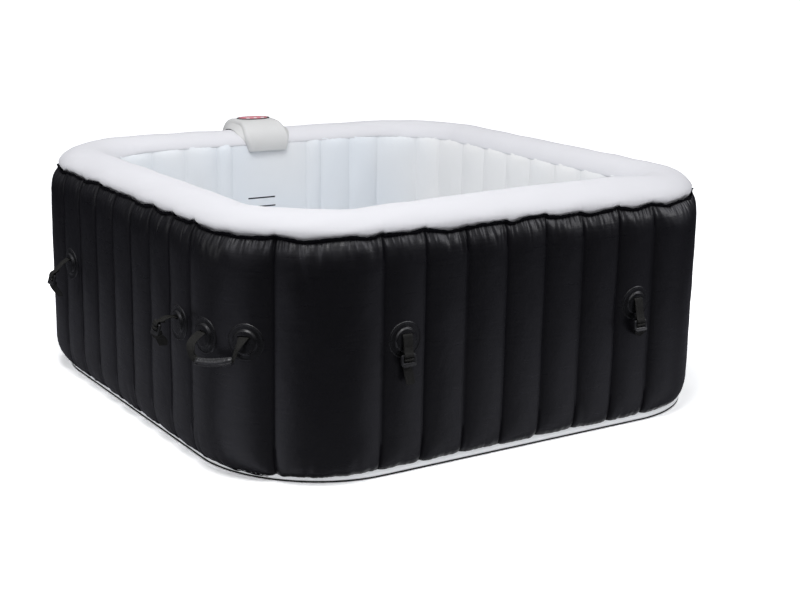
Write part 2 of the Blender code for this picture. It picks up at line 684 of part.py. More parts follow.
PLUG_TOP = CABLE_PATH[-1] + Vector((0, 0, -0.0012))
power_plug = add("power_plug", box_mesh("power_plug", (-0.026, -0.018, -0.072), (0.026, 0.018, 0.0)), CASE_BLACK,
                 at=PLUG_TOP)
soften(power_plug, 0.005, 2)


# ---------------------------------------------------------------- strap discs, straps and handles
def disc_on_wall(name, u0, z0):
    """A welded disc with a raised, slotted middle, drawn on the bulged wall round one point."""
    rings = [(0.0, DOME_H), (0.0255, DOME_H), (DOME_R, DOME_H - 0.0022), (DOME_R + 0.0020, 0.0016),
             (ANCHOR_R, 0.0012), (ANCHOR_R, 0.0), (0.0235, 0.0), (0.0, 0.0)]
    sides = 16
    home, _ = OUTER.point(u0, bulge_at(OUTER, OUT_GROOVES, u0), z0)
    bm = bmesh.new()

    def place(along, up, height):
        u = u0 + along * OUTER_R / (OUTER_R + 0.012) if wide else u0 + along
        spot, _ = OUTER.point(u, bulge_at(OUTER, OUT_GROOVES, u) + GAP + height, z0 + up)
        return bm.verts.new(spot - home)

    _, run = divmod(u0 % (4 * OUTER.quarter), OUTER.quarter)
    wide = abs(run - OUTER.quarter / 2) > STRAIGHT
    made = []
    for radius, height in rings:
        if radius == 0:
            made.append([place(0, 0, height)] * sides)
        else:
            made.append([place(radius * math.cos(2 * math.pi * i / sides),
                               radius * math.sin(2 * math.pi * i / sides), height) for i in range(sides)])
    for lower, upper in zip(made, made[1:]):
        for i in range(sides):
            j = (i + 1) % sides
            corners = []
            for vert in (lower[i], lower[j], upper[j], upper[i]):
                if vert not in corners:
                    corners.append(vert)
            bm.faces.new(corners)
    return smooth(add(name, finished(bm, name), BLACK_PVC, at=home), 40)


SIDE_NAMES = ("front", "right", "back", "left")
buckle_mesh = box_mesh("cover_buckle", (-0.0200, -0.0035, -0.0300), (0.0200, 0.0035, -0.0020))
window_meshes = [box_mesh("buckle_window", (-0.0145, -0.0060, low), (0.0145, 0.0060, low + 0.0055))
                 for low in (-0.0120, -0.0215)]
tail_mesh = box_mesh("webbing_tail", (-STRAP_WIDTH / 2, -0.0010, -STRAP_TAIL), (STRAP_WIDTH / 2, 0.0010, -0.0270))


def cover_strap(label, side, run, reach, rest, hang):
    """One cover strap: welded disc, webbing hinged where it leaves the slit, and the buckle on the webbing's end.

    reach is the length from the hinge to the buckle's bar, rest the webbing's angle out from straight down,
    and hang the buckle's."""
    u = OUTER.at(side, run)
    disc_on_wall("anchor_" + label, u, STRAP_Z)
    place, normal = OUTER.point(u, bulge_at(OUTER, OUT_GROOVES, u) + GAP + DOME_H + 0.0017, STRAP_Z + STRAP_SLIT)
    # local X along the wall, local Y into the wall, local Z up; the strap swings out by `rest`
    heading = math.atan2(normal.y, normal.x) + math.pi / 2
    hinge = empty("hinge_" + label, place, (math.radians(-rest), 0, heading))
    bar = empty("bar_" + label, (0, 0, -reach), (math.radians(rest - hang), 0, 0))
    bar.parent = hinge
    strap_mesh = box_mesh("strap_" + label, (-STRAP_WIDTH / 2, -0.0010, -reach + 0.0046), (STRAP_WIDTH / 2, 0.0010, 0.0010))
    webbing = add("strap_" + label, strap_mesh, WEBBING, parent=hinge)
    buckle = add("buckle_" + label, buckle_mesh, BUCKLE_PLASTIC, parent=bar)
    for window in window_meshes:
        cut(buckle, window)
    cut(buckle, tail_mesh, "UNION")
    return webbing, buckle


for label, side, run, reach, rest, hang in (
        ("front_left", 0, -STRAP_RUN, 0.0470, 6.0, 3.0), ("front_right", 0, STRAP_RUN, 0.0570, 12.0, 6.0),
        ("right_front", 1, -STRAP_RUN, 0.0570, 8.0, 4.0), ("right_back", 1, STRAP_RUN, 0.0570, 8.0, 4.0),
        ("back_right", 2, -STRAP_RUN, 0.0570, 8.0, 4.0), ("back_left", 2, STRAP_RUN, 0.0570, 8.0, 4.0),
        ("left_back", 3, -STRAP_RUN, 0.0600, 50.0, 12.0), ("left_front", 3, STRAP_RUN, 0.0470, 80.0, 12.0)):
    cover_strap(label, side, run, reach, rest, hang)


def carry_handle(label, side):
    """Two discs on the wide corner panel, a webbing loop through both, and a tubular grip round it."""
    runs = [STRAIGHT + OUTER_R * math.radians(angle) for angle in HANDLE_ANGLES]
    tops = []
    for index, run in enumerate(runs):
        u = OUTER.at(side, run)
        disc_on_wall("handle_anchor_%s_%d" % (label, index + 1), u, STRAP_Z + 0.001 + 0.004 * index)
        tops.append(OUTER.point(u, bulge_at(OUTER, OUT_GROOVES, u) + GAP + DOME_H + 0.0048, STRAP_Z + HANDLE_SLIT)[0])
    chord = tops[1] - tops[0]
    half = chord.length / 2
    middle = (tops[0] + tops[1]) / 2
    normal = Vector((chord.y, -chord.x, 0)).normalized()
    if normal.dot(middle) < 0:
        normal.negate()
    heading = math.atan2(normal.y, normal.x) + math.pi / 2
    hinge = empty("hinge_handle_" + label, middle, (math.radians(-HANDLE_REST), 0, heading))
    leg = half
    (x0, z0), (x1, z1) = GRIP_ENDS
    slope = (z1 - z0) / (x1 - x0)

    def low(x, rise):
        return x, z0 + slope * (x - x0) + rise

    loop = [(-leg - 0.0135, 0.0010), (-leg + 0.0135, 0.0010), low(x0 - 0.0080, 0.0125), low(x0 - 0.0020, 0.0060),
            low(x1 + 0.0020, 0.0060), low(x1 + 0.0080, 0.0125), (leg - 0.0135, 0.0010), (leg + 0.0135, 0.0010),
            low(x1 + 0.0190, 0.0045), low(x1 + 0.0120, -0.0060), low(x0 - 0.0120, -0.0060), low(x0 - 0.0190, 0.0045)]
    webbing_mesh = turned_to(outline_mesh("handle_webbing_" + label, loop, 0.0012),
                             Matrix.Rotation(math.radians(90), 4, "X"))
    webbing = add("handle_webbing_" + label, webbing_mesh, WEBBING, parent=hinge)
    grip = add("handle_grip_" + label,
               rod_mesh("handle_grip_" + label, 0.0108, (x0, 0, z0), (x1, 0, z1), 14), GRIP_PVC, parent=hinge)
    slot = box_mesh("grip_slot_" + label, (-0.0600, -0.0018, -0.0070), (0.0600, 0.0018, 0.0070))
    slot = turned_to(slot, Matrix.Translation(((x0 + x1) / 2, 0, (z0 + z1) / 2))
                     @ Matrix.Rotation(-math.atan(slope), 4, "Y"))
    cut(grip, slot)
    smooth(grip)
    return webbing, grip


# `run` is counter-clockwise, so the left side's run towards the front is positive
carry_handle("front", 3)
carry_handle("back", 1)
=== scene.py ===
import json
import math

import bmesh
import bpy
import numpy as np
from mathutils import Matrix, Vector


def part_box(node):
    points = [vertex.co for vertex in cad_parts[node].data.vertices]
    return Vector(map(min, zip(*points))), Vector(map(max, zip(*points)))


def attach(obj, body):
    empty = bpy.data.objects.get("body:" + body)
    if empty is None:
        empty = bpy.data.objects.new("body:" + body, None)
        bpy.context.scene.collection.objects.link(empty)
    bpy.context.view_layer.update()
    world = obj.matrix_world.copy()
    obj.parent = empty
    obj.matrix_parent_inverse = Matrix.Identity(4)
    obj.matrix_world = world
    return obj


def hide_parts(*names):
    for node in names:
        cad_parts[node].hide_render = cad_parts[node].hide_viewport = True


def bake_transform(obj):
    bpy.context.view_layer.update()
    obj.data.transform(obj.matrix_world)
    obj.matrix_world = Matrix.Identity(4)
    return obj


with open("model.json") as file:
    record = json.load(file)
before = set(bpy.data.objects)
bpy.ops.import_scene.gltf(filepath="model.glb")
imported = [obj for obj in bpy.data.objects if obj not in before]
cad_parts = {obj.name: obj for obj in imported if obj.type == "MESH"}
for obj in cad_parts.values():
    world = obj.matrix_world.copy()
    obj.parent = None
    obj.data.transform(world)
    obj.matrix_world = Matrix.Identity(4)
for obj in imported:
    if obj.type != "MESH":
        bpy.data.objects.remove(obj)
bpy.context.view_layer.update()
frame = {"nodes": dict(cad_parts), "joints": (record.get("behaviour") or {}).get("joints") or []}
NODES = frame["nodes"]
JOINTS = {j["name"]: j for j in frame["joints"]}

# ------------------------------------------------------------------ sizes shared with the CAD, in metres
STRAIGHT, GROOVE_HALF, INNER_HALF = 0.4225, 0.7605, 0.597
OUTER_R, INNER_R = GROOVE_HALF - STRAIGHT, INNER_HALF - STRAIGHT
PITCH = 2 * STRAIGHT / 7
NARROW_BULGE, WIDE_BULGE, INNER_BULGE = 0.0065, 0.0150, 0.0095
RIM_SEAM_Z, INNER_SEAM_Z, FOOT_SEAM_Z = 0.600, 0.594, 0.033
POCKET_HALF = 0.135
STRAP_Z, STRAP_RUN, STRAP_SLIT = 0.343, 0.364, 0.0145
DOME_R, DOME_H, ANCHOR_R = 0.030, 0.0068, 0.0455
GAP = 0.0008
HANDLE_ANGLES, HANDLE_SLIT = (13.7, 34.0), 0.0145
GRIP_ENDS = ((-0.0455, 0.0746), (0.0571, 0.0566))      # along the hinge line and away from it


# ------------------------------------------------------------------ outlines, worked on whole arrays
class Outline:
    def __init__(self, half, radius):
        self.half, self.radius = half, radius
        self.straight = half - radius
        self.quarter = 2 * self.straight + radius * math.pi / 2
        self.total = 4 * self.quarter

    def at(self, side, run):
        return side * self.quarter + self.quarter / 2 + run

    def side_run(self, u):
        u = np.mod(u, self.total)
        side = np.floor(u / self.quarter).astype(int) % 4
        return side, u - side * self.quarter - self.quarter / 2

    def place(self, u, out):
        """x, y and the outward normal for arrays of u and out."""
        u, out = np.broadcast_arrays(np.asarray(u, float), np.asarray(out, float))
        side, run = self.side_run(u)
        phi = np.clip((np.abs(run) - self.straight) / self.radius, 0, None)
        sign = np.where(run < 0, -1.0, 1.0)
        nx, ny = sign * np.sin(phi), -np.cos(phi)
        bent = phi > 0
        x = np.where(bent, sign * self.straight + self.radius * nx, run)
        y = np.where(bent, -self.straight + self.radius * ny, -self.half)
        x, y = x + nx * out, y + ny * out
        c, s = np.cos(side * math.pi / 2), np.sin(side * math.pi / 2)
        return x * c - y * s, x * s + y * c, nx * c - ny * s, nx * s + ny * c


OUTER, INNER = Outline(GROOVE_HALF, OUTER_R), Outline(INNER_HALF, INNER_R)


def outer_grooves():
    found = []
    for side in range(4):
        for i in range(8):
            run = -STRAIGHT + i * PITCH
            if side == 2 and abs(run) < 1.2 * PITCH:
                continue
            found.append((OUTER.at(side, run), WIDE_BULGE if i == 7 else NARROW_BULGE))
        found.append((OUTER.at(side, OUTER.quarter / 2), WIDE_BULGE))
    return sorted(found)


def inner_grooves():
    found = []
    for side in (0, 1, 3):
        found += [(INNER.at(side, i * PITCH), INNER_BULGE) for i in range(-4, 5)]
    for run in (-0.5505, -0.41, -0.30, -0.19, -POCKET_HALF, POCKET_HALF, 0.19, 0.30, 0.41, 0.5505):
        found.append((INNER.at(2, run), INNER_BULGE))
    return sorted(found)


class Flutes:
    """How far each panel between two grooves stands out, and how far a place is from a groove."""

    def __init__(self, outline, grooves):
        self.total = outline.total
        self.starts = np.array([g[0] for g in grooves]) % self.total
        order = np.argsort(self.starts)
        self.starts = self.starts[order]
        self.bulges = np.array([g[1] for g in grooves])[order]
        ends = np.roll(self.starts, -1)
        self.lengths = np.mod(ends - self.starts, self.total)
        flat = (self.lengths > 2.5 * PITCH)
        if outline is INNER:
            flat |= np.abs(self.lengths - 2 * POCKET_HALF) < 1e-3
        self.factor = np.where(flat, 0.3, 1.0)

    def find(self, u):
        u = np.mod(u, self.total)
        k = np.searchsorted(self.starts, u, side="right") - 1
        along = np.mod(u - self.starts[k], self.total)
        return k, along

    def bulge(self, u):
        k, along = self.find(u)
        t = np.clip(along / self.lengths[k], 0, 1)
        return self.factor[k] * self.bulges[k] * 4 * t * (1 - t)

    def from_groove(self, u):
        k, along = self.find(u)
        return np.minimum(along, self.lengths[k] - along)


OUT_FLUTES, IN_FLUTES = Flutes(OUTER, outer_grooves()), Flutes(INNER, inner_grooves())


def wobble(u, total, seed, waves):
    """A smooth irregularity round a closed outline: waves holds (length, size)."""
    rng = np.random.default_rng(seed)
    out = np.zeros_like(u, float)
    for length, size in waves:
        for _ in range(5):
            n = max(1, round(total / length * rng.uniform(0.72, 1.35)))
            out += size * 0.5 * rng.uniform(0.5, 1.0) * np.sin(2 * math.pi * n * u / total + rng.uniform(0, 6.283))
    return out


def cloth_noise(u, z, total, seed, waves):
    """The same in two directions; waves holds (length along, length up, size)."""
    rng = np.random.default_rng(seed)
    out = np.zeros(np.broadcast(u, z).shape)
    for along, up, size in waves:
        for _ in range(7):
            n = max(1, round(total / along * rng.uniform(0.6, 1.5)))
            m = 2 * math.pi / up * rng.uniform(0.6, 1.5) * rng.choice((-1, 1))
            out += size * 0.42 * rng.uniform(0.4, 1.0) * np.sin(
                2 * math.pi * n * u / total + m * z + rng.uniform(0, 6.283))
    return out


def smoothstep(t):
    t = np.clip(t, 0, 1)
    return t * t * (3 - 2 * t)


def gathers(u, away, total, seed, spacing, depth, reach, width, long_share=0.12):
    """Small pinches that run down from a seam: u round the wall, away = distance from the seam (arrays of one shape)."""
    rng = np.random.default_rng(seed)
    out = np.zeros_like(away)
    columns = u[0]
    at = 0.0
    while at < total:
        size = rng.uniform(0.35, 1.0)
        w = width * rng.uniform(0.7, 1.35)
        far = reach * rng.uniform(0.45, 1.25) * (2.1 if rng.uniform() < long_share else 1.0)
        lean = rng.normal(0, 0.10)
        near = np.abs(np.mod(columns - at + total / 2, total) - total / 2) < 3.2 * w + abs(lean) * far
        picked = np.nonzero(near)[0]
        if len(picked):
            d = np.mod(u[:, picked] - at - lean * away[:, picked] + total / 2, total) - total / 2
            t = np.clip(away[:, picked] / far, 0, 1)
            fall = (1 - t) ** 1.6
            out[:, picked] -= depth * size * fall * np.exp(-(d / (w * (1 + 0.6 * t))) ** 2)
        at += spacing * rng.uniform(0.55, 1.5)
    return out


def curve_through(points, values):
    """A smooth curve through rows of (z, value...), read at the given z values (monotone in z)."""
    points = np.array(points, float)
    z = points[:, 0]
    out = []
    for column in range(1, points.shape[1]):
        y = points[:, column]
        slope = np.gradient(y, z)
        step = np.diff(y) / np.diff(z)
        for i in range(len(slope)):
            near = [abs(step[j]) for j in (i - 1, i) if 0 <= j < len(step)]
            slope[i] = np.clip(slope[i], -3 * min(near), 3 * min(near))
        k = np.clip(np.searchsorted(z, values, side="right") - 1, 0, len(z) - 2)
        h = z[k + 1] - z[k]
        t = np.clip((values - z[k]) / h, 0, 1)
        out.append((2 * t**3 - 3 * t**2 + 1) * y[k] + (t**3 - 2 * t**2 + t) * h * slope[k]
                   + (3 * t**2 - 2 * t**3) * y[k + 1] + (t**3 - t**2) * h * slope[k + 1])
    return out


# ------------------------------------------------------------------ mesh helpers
def mesh_object(name, points, faces, mat, sharp=None, cloth=None):
    mesh = bpy.data.meshes.new(name)
    mesh.from_pydata([tuple(map(float, p)) for p in points], [], [tuple(map(int, f)) for f in faces])
    mesh.validate()
    mesh.update()
    mesh.shade_smooth()
    if sharp is not None:
        mesh.set_sharp_from_angle(angle=math.radians(sharp))
    if cloth is not None:
        attribute = mesh.attributes.new("cloth", "FLOAT_VECTOR", "POINT")
        attribute.data.foreach_set("vector", np.asarray(cloth, np.float32).ravel())
    if mat is not None:
        mesh.materials.append(mat)
    obj = bpy.data.objects.new(name, mesh)
    bpy.context.scene.collection.objects.link(obj)
    return obj


def face_out(obj):
    bm = bmesh.new()
    bm.from_mesh(obj.data)
    bmesh.ops.recalc_face_normals(bm, faces=bm.faces)
    bm.to_mesh(obj.data)
    bm.free()
    obj.data.shade_smooth()
    return obj


def thicken(obj, amount, offset=-1.0):
    modifier = obj.modifiers.new("skin", "SOLIDIFY")
    modifier.thickness = amount
    modifier.offset = offset
    modifier.use_even_offset = False
    return obj


def ring_faces(rows, count, start=0, flip=False):
    faces = []
    for r in range(rows - 1):
        a = start + r * count
        for i in range(count):
            j = (i + 1) % count
            quad = (a + i, a + j, a + count + j, a + count + i)
            faces.append(quad[::-1] if flip else quad)
    return faces


def stitch(coarse, fine, ratio, flip=False):
    """Joins a coarse closed row to a fine one whose every ratio-th point lines up with it (coarse below fine)."""
    faces = []
    n = len(coarse)
    for i in range(n):
        j = (i + 1) % n
        top = [fine[(i * ratio + k) % len(fine)] for k in range(ratio + 1)]
        poly = [coarse[i], coarse[j]] + top[::-1]
        faces.append(tuple(poly[::-1]) if flip else tuple(poly))
    return faces


def smooth_path(points, per=6):
    """A Catmull-Rom line through points."""
    pts = [Vector(p) for p in points]
    ends = [pts[0] * 2 - pts[1]] + pts + [pts[-1] * 2 - pts[-2]]
    out = []
    for i in range(1, len(ends) - 2):
        p0, p1, p2, p3 = ends[i - 1:i + 3]
        for k in range(per):
            t = k / per
            out.append(0.5 * ((2 * p1) + (p2 - p0) * t + (2 * p0 - 5 * p1 + 4 * p2 - p3) * t * t
                              + (3 * p1 - p0 - 3 * p2 + p3) * t ** 3))
    out.append(pts[-1])
    return out


def strip(name, path, across, width, thick, mat, fold=0.0, normal_hint=None):
    """Flat webbing swept along a path.  across, width and fold may be one value or one for each point."""
    n = len(path)
    path = [Vector(p) for p in path]
    across = [Vector(a).normalized() for a in (across if isinstance(across, list) else [across] * n)]
    width = width if isinstance(width, list) else [width] * n
    fold = fold if isinstance(fold, list) else [fold] * n
    section = [-0.5, -0.47, -0.36, -0.18, 0.0, 0.18, 0.36, 0.47, 0.5]
    edge = [0.55, 1.0, 0.92, 0.92, 0.92, 0.92, 0.92, 1.0, 0.55]
    points, cloth, length = [], [], 0.0
    for i, p in enumerate(path):
        before, after = path[max(0, i - 1)], path[min(n - 1, i + 1)]
        tangent = (after - before).normalized()
        side = (across[i] - tangent * across[i].dot(tangent)).normalized()
        up = side.cross(tangent).normalized()
        if i:
            length += (p - path[i - 1]).length
        for layer in (1, -1):
            line = list(zip(section, edge))
            for s, e in (line if layer == 1 else reversed(line)):
                bend = fold[i] * (1 - abs(s) * 2)
                points.append(p + side * (s * width[i]) + up * (layer * e * thick / 2 + bend))
                cloth.append((s * width[i], length, layer * 1.0))
    ring = 2 * len(section)
    faces = []
    for i in range(n - 1):
        for k in range(ring):
            m = (k + 1) % ring
            faces.append((i * ring + k, i * ring + m, (i + 1) * ring + m, (i + 1) * ring + k))
    half = len(section)
    for base, turn in ((0, 1), ((n - 1) * ring, -1)):
        for k in range(half - 1):
            quad = (base + k, base + k + 1, base + ring - 2 - k, base + ring - 1 - k)
            faces.append(quad[::-1] if turn == 1 else quad)
    obj = mesh_object(name, points, faces, mat, cloth=cloth)
    face_out(obj)
    obj.data.set_sharp_from_angle(angle=math.radians(60))
    return obj


def tube(name, path, radius, mat, sides=14, closed_ends=True, shape=None):
    """A round tube; radius may be one value for each point, and shape(angle, i) scales it."""
    n = len(path)
    path = [Vector(p) for p in path]
    radius = radius if isinstance(radius, list) else [radius] * n
    points, cloth = [], []
    tangent = (path[1] - path[0]).normalized()
    side = tangent.orthogonal().normalized()
    length = 0.0
    for i, p in enumerate(path):
        tangent = (path[min(n - 1, i + 1)] - path[max(0, i - 1)]).normalized()
        side = (side - tangent * side.dot(tangent)).normalized()
        up = tangent.cross(side)
        if i:
            length += (p - path[i - 1]).length
        for k in range(sides):
            a = 2 * math.pi * k / sides
            r = radius[i] * (shape(a, i) if shape else 1.0)
            points.append(p + side * (r * math.cos(a)) + up * (r * math.sin(a)))
            cloth.append((radius[i] * a, length, 0.0))
    faces = []
    for i in range(n - 1):
        for k in range(sides):
            m = (k + 1) % sides
            faces.append((i * sides + k, i * sides + m, (i + 1) * sides + m, (i + 1) * sides + k))
    if closed_ends:
        faces.append(tuple(range(sides))[::-1])
        faces.append(tuple((n - 1) * sides + k for k in range(sides)))
    obj = mesh_object(name, points, faces, mat, cloth=cloth)
    face_out(obj)
    obj.data.set_sharp_from_angle(angle=math.radians(60))
    return obj


def turned(name, profile, sides, matrix, mat, sharp=35):
    """A closed profile of (radius, height) turned about local Z."""
    points, rings = [], []
    for r, h in profile:
        if r == 0:
            rings.append([len(points)] * sides)
            points.append((0, 0, h))
        else:
            rings.append(list(range(len(points), len(points) + sides)))
            points += [(r * math.cos(2 * math.pi * i / sides), r * math.sin(2 * math.pi * i / sides), h)
                       for i in range(sides)]
    closed = profile[0][0] != 0
    faces = []
    for lower, upper in list(zip(rings, rings[1:])) + ([(rings[-1], rings[0])] if closed else []):
        for i in range(sides):
            j = (i + 1) % sides
            corners = []
            for v in (lower[i], lower[j], upper[j], upper[i]):
                if v not in corners:
                    corners.append(v)
            if len(corners) > 2:
                faces.append(tuple(corners))
    obj = mesh_object(name, points, faces, mat)
    obj.data.transform(matrix)
    face_out(obj)
    obj.data.set_sharp_from_angle(angle=math.radians(sharp))
    return obj


def flat_plate(name, outlines, half_thickness, bevel, matrix, mat, resolution=3):
    """A plate with windows: the first outline is its edge, the others are cut through it."""
    curve = bpy.data.curves.new(name, "CURVE")
    curve.dimensions = "2D"
    curve.fill_mode = "BOTH"
    curve.extrude = half_thickness - bevel
    curve.bevel_depth = bevel
    curve.bevel_resolution = resolution
    for outline in outlines:
        spline = curve.splines.new("POLY")
        spline.points.add(len(outline) - 1)
        for point, (x, y) in zip(spline.points, outline):
            point.co = (x, y, 0, 1)
        spline.use_cyclic_u = True
    holder = bpy.data.objects.new(name + "_curve", curve)
    bpy.context.scene.collection.objects.link(holder)
    bpy.context.view_layer.update()
    mesh = bpy.data.meshes.new_from_object(holder.evaluated_get(bpy.context.evaluated_depsgraph_get()))
    bpy.data.objects.remove(holder, do_unlink=True)
    bm = bmesh.new()
    bm.from_mesh(mesh)
    bmesh.ops.remove_doubles(bm, verts=bm.verts, dist=1e-5)
    bmesh.ops.recalc_face_normals(bm, faces=bm.faces)
    bm.to_mesh(mesh)
    bm.free()
    mesh.transform(matrix)
    mesh.shade_smooth()
    mesh.set_sharp_from_angle(angle=math.radians(40))
    mesh.materials.clear()
    mesh.materials.append(mat)
    obj = bpy.data.objects.new(name, mesh)
    bpy.context.scene.collection.objects.link(obj)
    return obj


def round_box(x0, x1, y0, y1, r, steps=5):
    """The outline of a rectangle with round corners."""
    out = []
    for cx, cy, start in ((x1 - r, y1 - r, 0), (x0 + r, y1 - r, 90), (x0 + r, y0 + r, 180), (x1 - r, y0 + r, 270)):
        for k in range(steps + 1):
            a = math.radians(start + 90 * k / steps)
            out.append((cx + r * math.cos(a), cy + r * math.sin(a)))
    return out


# ------------------------------------------------------------------ procedural materials
class Look:
    """A node material built up step by step round one Principled BSDF."""

    def __init__(self, name, colour, roughness, metallic=0.0, specular=0.5, space="Object"):
        self.mat = bpy.data.materials.new(name)
        self.mat.use_nodes = True
        self.tree = self.mat.node_tree
        self.shader = self.tree.nodes["Principled BSDF"]
        self.shader.inputs["Base Color"].default_value = (*colour, 1)
        self.shader.inputs["Roughness"].default_value = roughness
        self.shader.inputs["Metallic"].default_value = metallic
        self.shader.inputs["Specular IOR Level"].default_value = specular
        self.mat.diffuse_color = (*colour, 1)
        if space == "cloth":
            self.where = self.add("ShaderNodeAttribute", attribute_name="cloth").outputs["Vector"]
        else:
            self.where = self.add("ShaderNodeTexCoord").outputs["Object"]
        self.height = None

    def add(self, kind, **settings):
        node = self.tree.nodes.new(kind)
        for key, value in settings.items():
            setattr(node, key, value)
        return node

    def link(self, a, b):
        self.tree.links.new(a, b)

    def stretched(self, scale):
        node = self.add("ShaderNodeMapping")
        node.inputs["Scale"].default_value = scale
        self.link(self.where, node.inputs["Vector"])
        return node.outputs["Vector"]

    def noise(self, scale, detail=3, rough=0.5, distortion=0.0, stretch=None):
        node = self.add("ShaderNodeTexNoise")
        node.inputs["Scale"].default_value = scale
        node.inputs["Detail"].default_value = detail
        node.inputs["Roughness"].default_value = rough
        node.inputs["Distortion"].default_value = distortion
        self.link(self.stretched(stretch) if stretch else self.where, node.inputs["Vector"])
        return node.outputs["Fac"]

    def cells(self, scale, feature="F1", stretch=None):
        node = self.add("ShaderNodeTexVoronoi", feature=feature)
        node.inputs["Scale"].default_value = scale
        self.link(self.stretched(stretch) if stretch else self.where, node.inputs["Vector"])
        return node.outputs["Distance"]

    def bands(self, scale, direction="X", distortion=0.0, stretch=None):
        node = self.add("ShaderNodeTexWave", wave_type="BANDS", bands_direction=direction)
        node.inputs["Scale"].default_value = scale
        node.inputs["Distortion"].default_value = distortion
        self.link(self.stretched(stretch) if stretch else self.where, node.inputs["Vector"])
        return node.outputs["Fac"]

    def ramp(self, value, stops):
        node = self.add("ShaderNodeValToRGB")
        ramp = node.color_ramp
        while len(ramp.elements) < len(stops):
            ramp.elements.new(0.5)
        for element, (position, colour) in zip(ramp.elements, stops):
            element.position = position
            element.color = (*colour, 1) if len(colour) == 3 else colour
        self.link(value, node.inputs["Fac"])
        return node.outputs["Color"]

    def remap(self, value, low, high, a=0.0, b=1.0):
        node = self.add("ShaderNodeMapRange")
        node.inputs["From Min"].default_value = low
        node.inputs["From Max"].default_value = high
        node.inputs["To Min"].default_value = a
        node.inputs["To Max"].default_value = b
        self.link(value, node.inputs["Value"])
        return node.outputs["Result"]

    def sum(self, a, b, share=1.0, operation="MULTIPLY_ADD"):
        """a + b * share"""
        node = self.add("ShaderNodeMath", operation="MULTIPLY_ADD")
        self.link(b, node.inputs[0])
        node.inputs[1].default_value = share
        self.link(a, node.inputs[2])
        return node.outputs["Value"]

    def times(self, a, b):
        node = self.add("ShaderNodeMath", operation="MULTIPLY")
        self.link(a, node.inputs[0])
        self.link(b, node.inputs[1])
        return node.outputs["Value"]

    def colour(self, value):
        self.link(value, self.shader.inputs["Base Color"])
        return self

    def roughness(self, value):
        self.link(value, self.shader.inputs["Roughness"])
        return self

    def bump(self, height, strength, distance):
        node = self.add("ShaderNodeBump")
        node.inputs["Strength"].default_value = strength
        node.inputs["Distance"].default_value = distance
        self.link(height, node.inputs["Height"])
        if self.height is not None:
            self.link(self.height, node.inputs["Normal"])
        self.height = node.outputs["Normal"]
        self.link(self.height, self.shader.inputs["Normal"])
        return self

    def set(self, **values):
        for key, value in values.items():
            self.shader.inputs[key.replace("_", " ")].default_value = value
        return self


def tint(colour, amount):
    return tuple(max(0.0, c * amount) for c in colour)


def coated(name, colour, rough, specular, grain=0.30, tone=0.14):
    """Coated fabric: a fine leather-like grain, soft creases and a little change of tone."""
    look = Look(name, colour, rough, specular=specular)
    broad = look.noise(5.0, 4, 0.6)
    look.colour(look.ramp(broad, [(0.25, tint(colour, 1 - tone)), (0.55, colour), (0.8, tint(colour, 1 + tone * 0.8))]))
    look.roughness(look.remap(look.noise(38.0, 3, 0.6), 0.3, 0.7, rough - 0.05, rough + 0.07))
    look.bump(look.noise(9.0, 5, 0.55, 0.6), 0.35, 0.004)
    look.bump(look.noise(60.0, 4, 0.6, 0.3), 0.22, 0.0012)
    look.bump(look.sum(look.cells(760.0), look.noise(1400.0, 2), 0.35), grain, 0.00025)
    return look


black = coated("black_coated_fabric", (0.0044, 0.0042, 0.0056), 0.37, 0.30, 0.30, 0.22)
# faint streaks across the wall, as the woven backing shows through the coating
weft = black.add("ShaderNodeAttribute", attribute_name="cloth").outputs["Vector"]
stretch = black.add("ShaderNodeMapping")
stretch.inputs["Scale"].default_value = (9.0, 130.0, 0.0)
black.link(weft, stretch.inputs["Vector"])
streak = black.add("ShaderNodeTexNoise")
streak.inputs["Scale"].default_value = 1.0
streak.inputs["Detail"].default_value = 6
streak.inputs["Roughness"].default_value = 0.62
black.link(stretch.outputs["Vector"], streak.inputs["Vector"])
black.roughness(black.remap(streak.outputs["Fac"], 0.30, 0.70, 0.26, 0.37))
black.bump(streak.outputs["Fac"], 0.30, 0.0012)
# along each welded groove the coating is pressed flat and dull
weld_mark = black.add("ShaderNodeAttribute", attribute_name="weld").outputs["Fac"]
black.link(black.remap(weld_mark, 0.0, 1.0, 0.34, 0.02), black.shader.inputs["Specular IOR Level"])
white = coated("white_coated_fabric", (0.685, 0.683, 0.712), 0.52, 0.22, 0.10, 0.014)
inside = coated("basin_coated_fabric", (0.735, 0.765, 0.800), 0.46, 0.30, 0.10, 0.022)
floor_cloth = coated("floor_coated_fabric", (0.74, 0.76, 0.79), 0.50, 0.30, 0.12, 0.02)
# the foot band glows faintly, painted light in place of the shade it gets under the wall
band_glow = floor_cloth.add("ShaderNodeAttribute", attribute_name="band").outputs["Fac"]
floor_cloth.link(floor_cloth.remap(band_glow, 0.0, 1.0, 0.0, 0.20), floor_cloth.shader.inputs["Emission Strength"])
floor_cloth.shader.inputs["Emission Color"].default_value = (1.0, 1.0, 1.0, 1)
web = coated("web_fabric", (0.70, 0.72, 0.75), 0.62, 0.3, 0.25, 0.05)

# colour of the basin wall shifts a little from panel to panel towards blue
shift = inside.ramp(inside.noise(2.3, 1, 0.4), [(0.35, (0.825, 0.825, 0.825)), (0.65, (0.760, 0.795, 0.835))])
inside.colour(shift)


def moulded(name, colour, rough, specular=0.45, grain=0.10, scale=520.0, tone=0.03):
    look = Look(name, colour, rough, specular=specular)
    look.colour(look.ramp(look.noise(14.0, 3), [(0.3, tint(colour, 1 - tone)), (0.7, tint(colour, 1 + tone))]))
    look.roughness(look.remap(look.noise(90.0, 3), 0.3, 0.7, rough - 0.04, rough + 0.06))
    look.bump(look.noise(scale, 2, 0.6), grain, 0.0002)
    return look


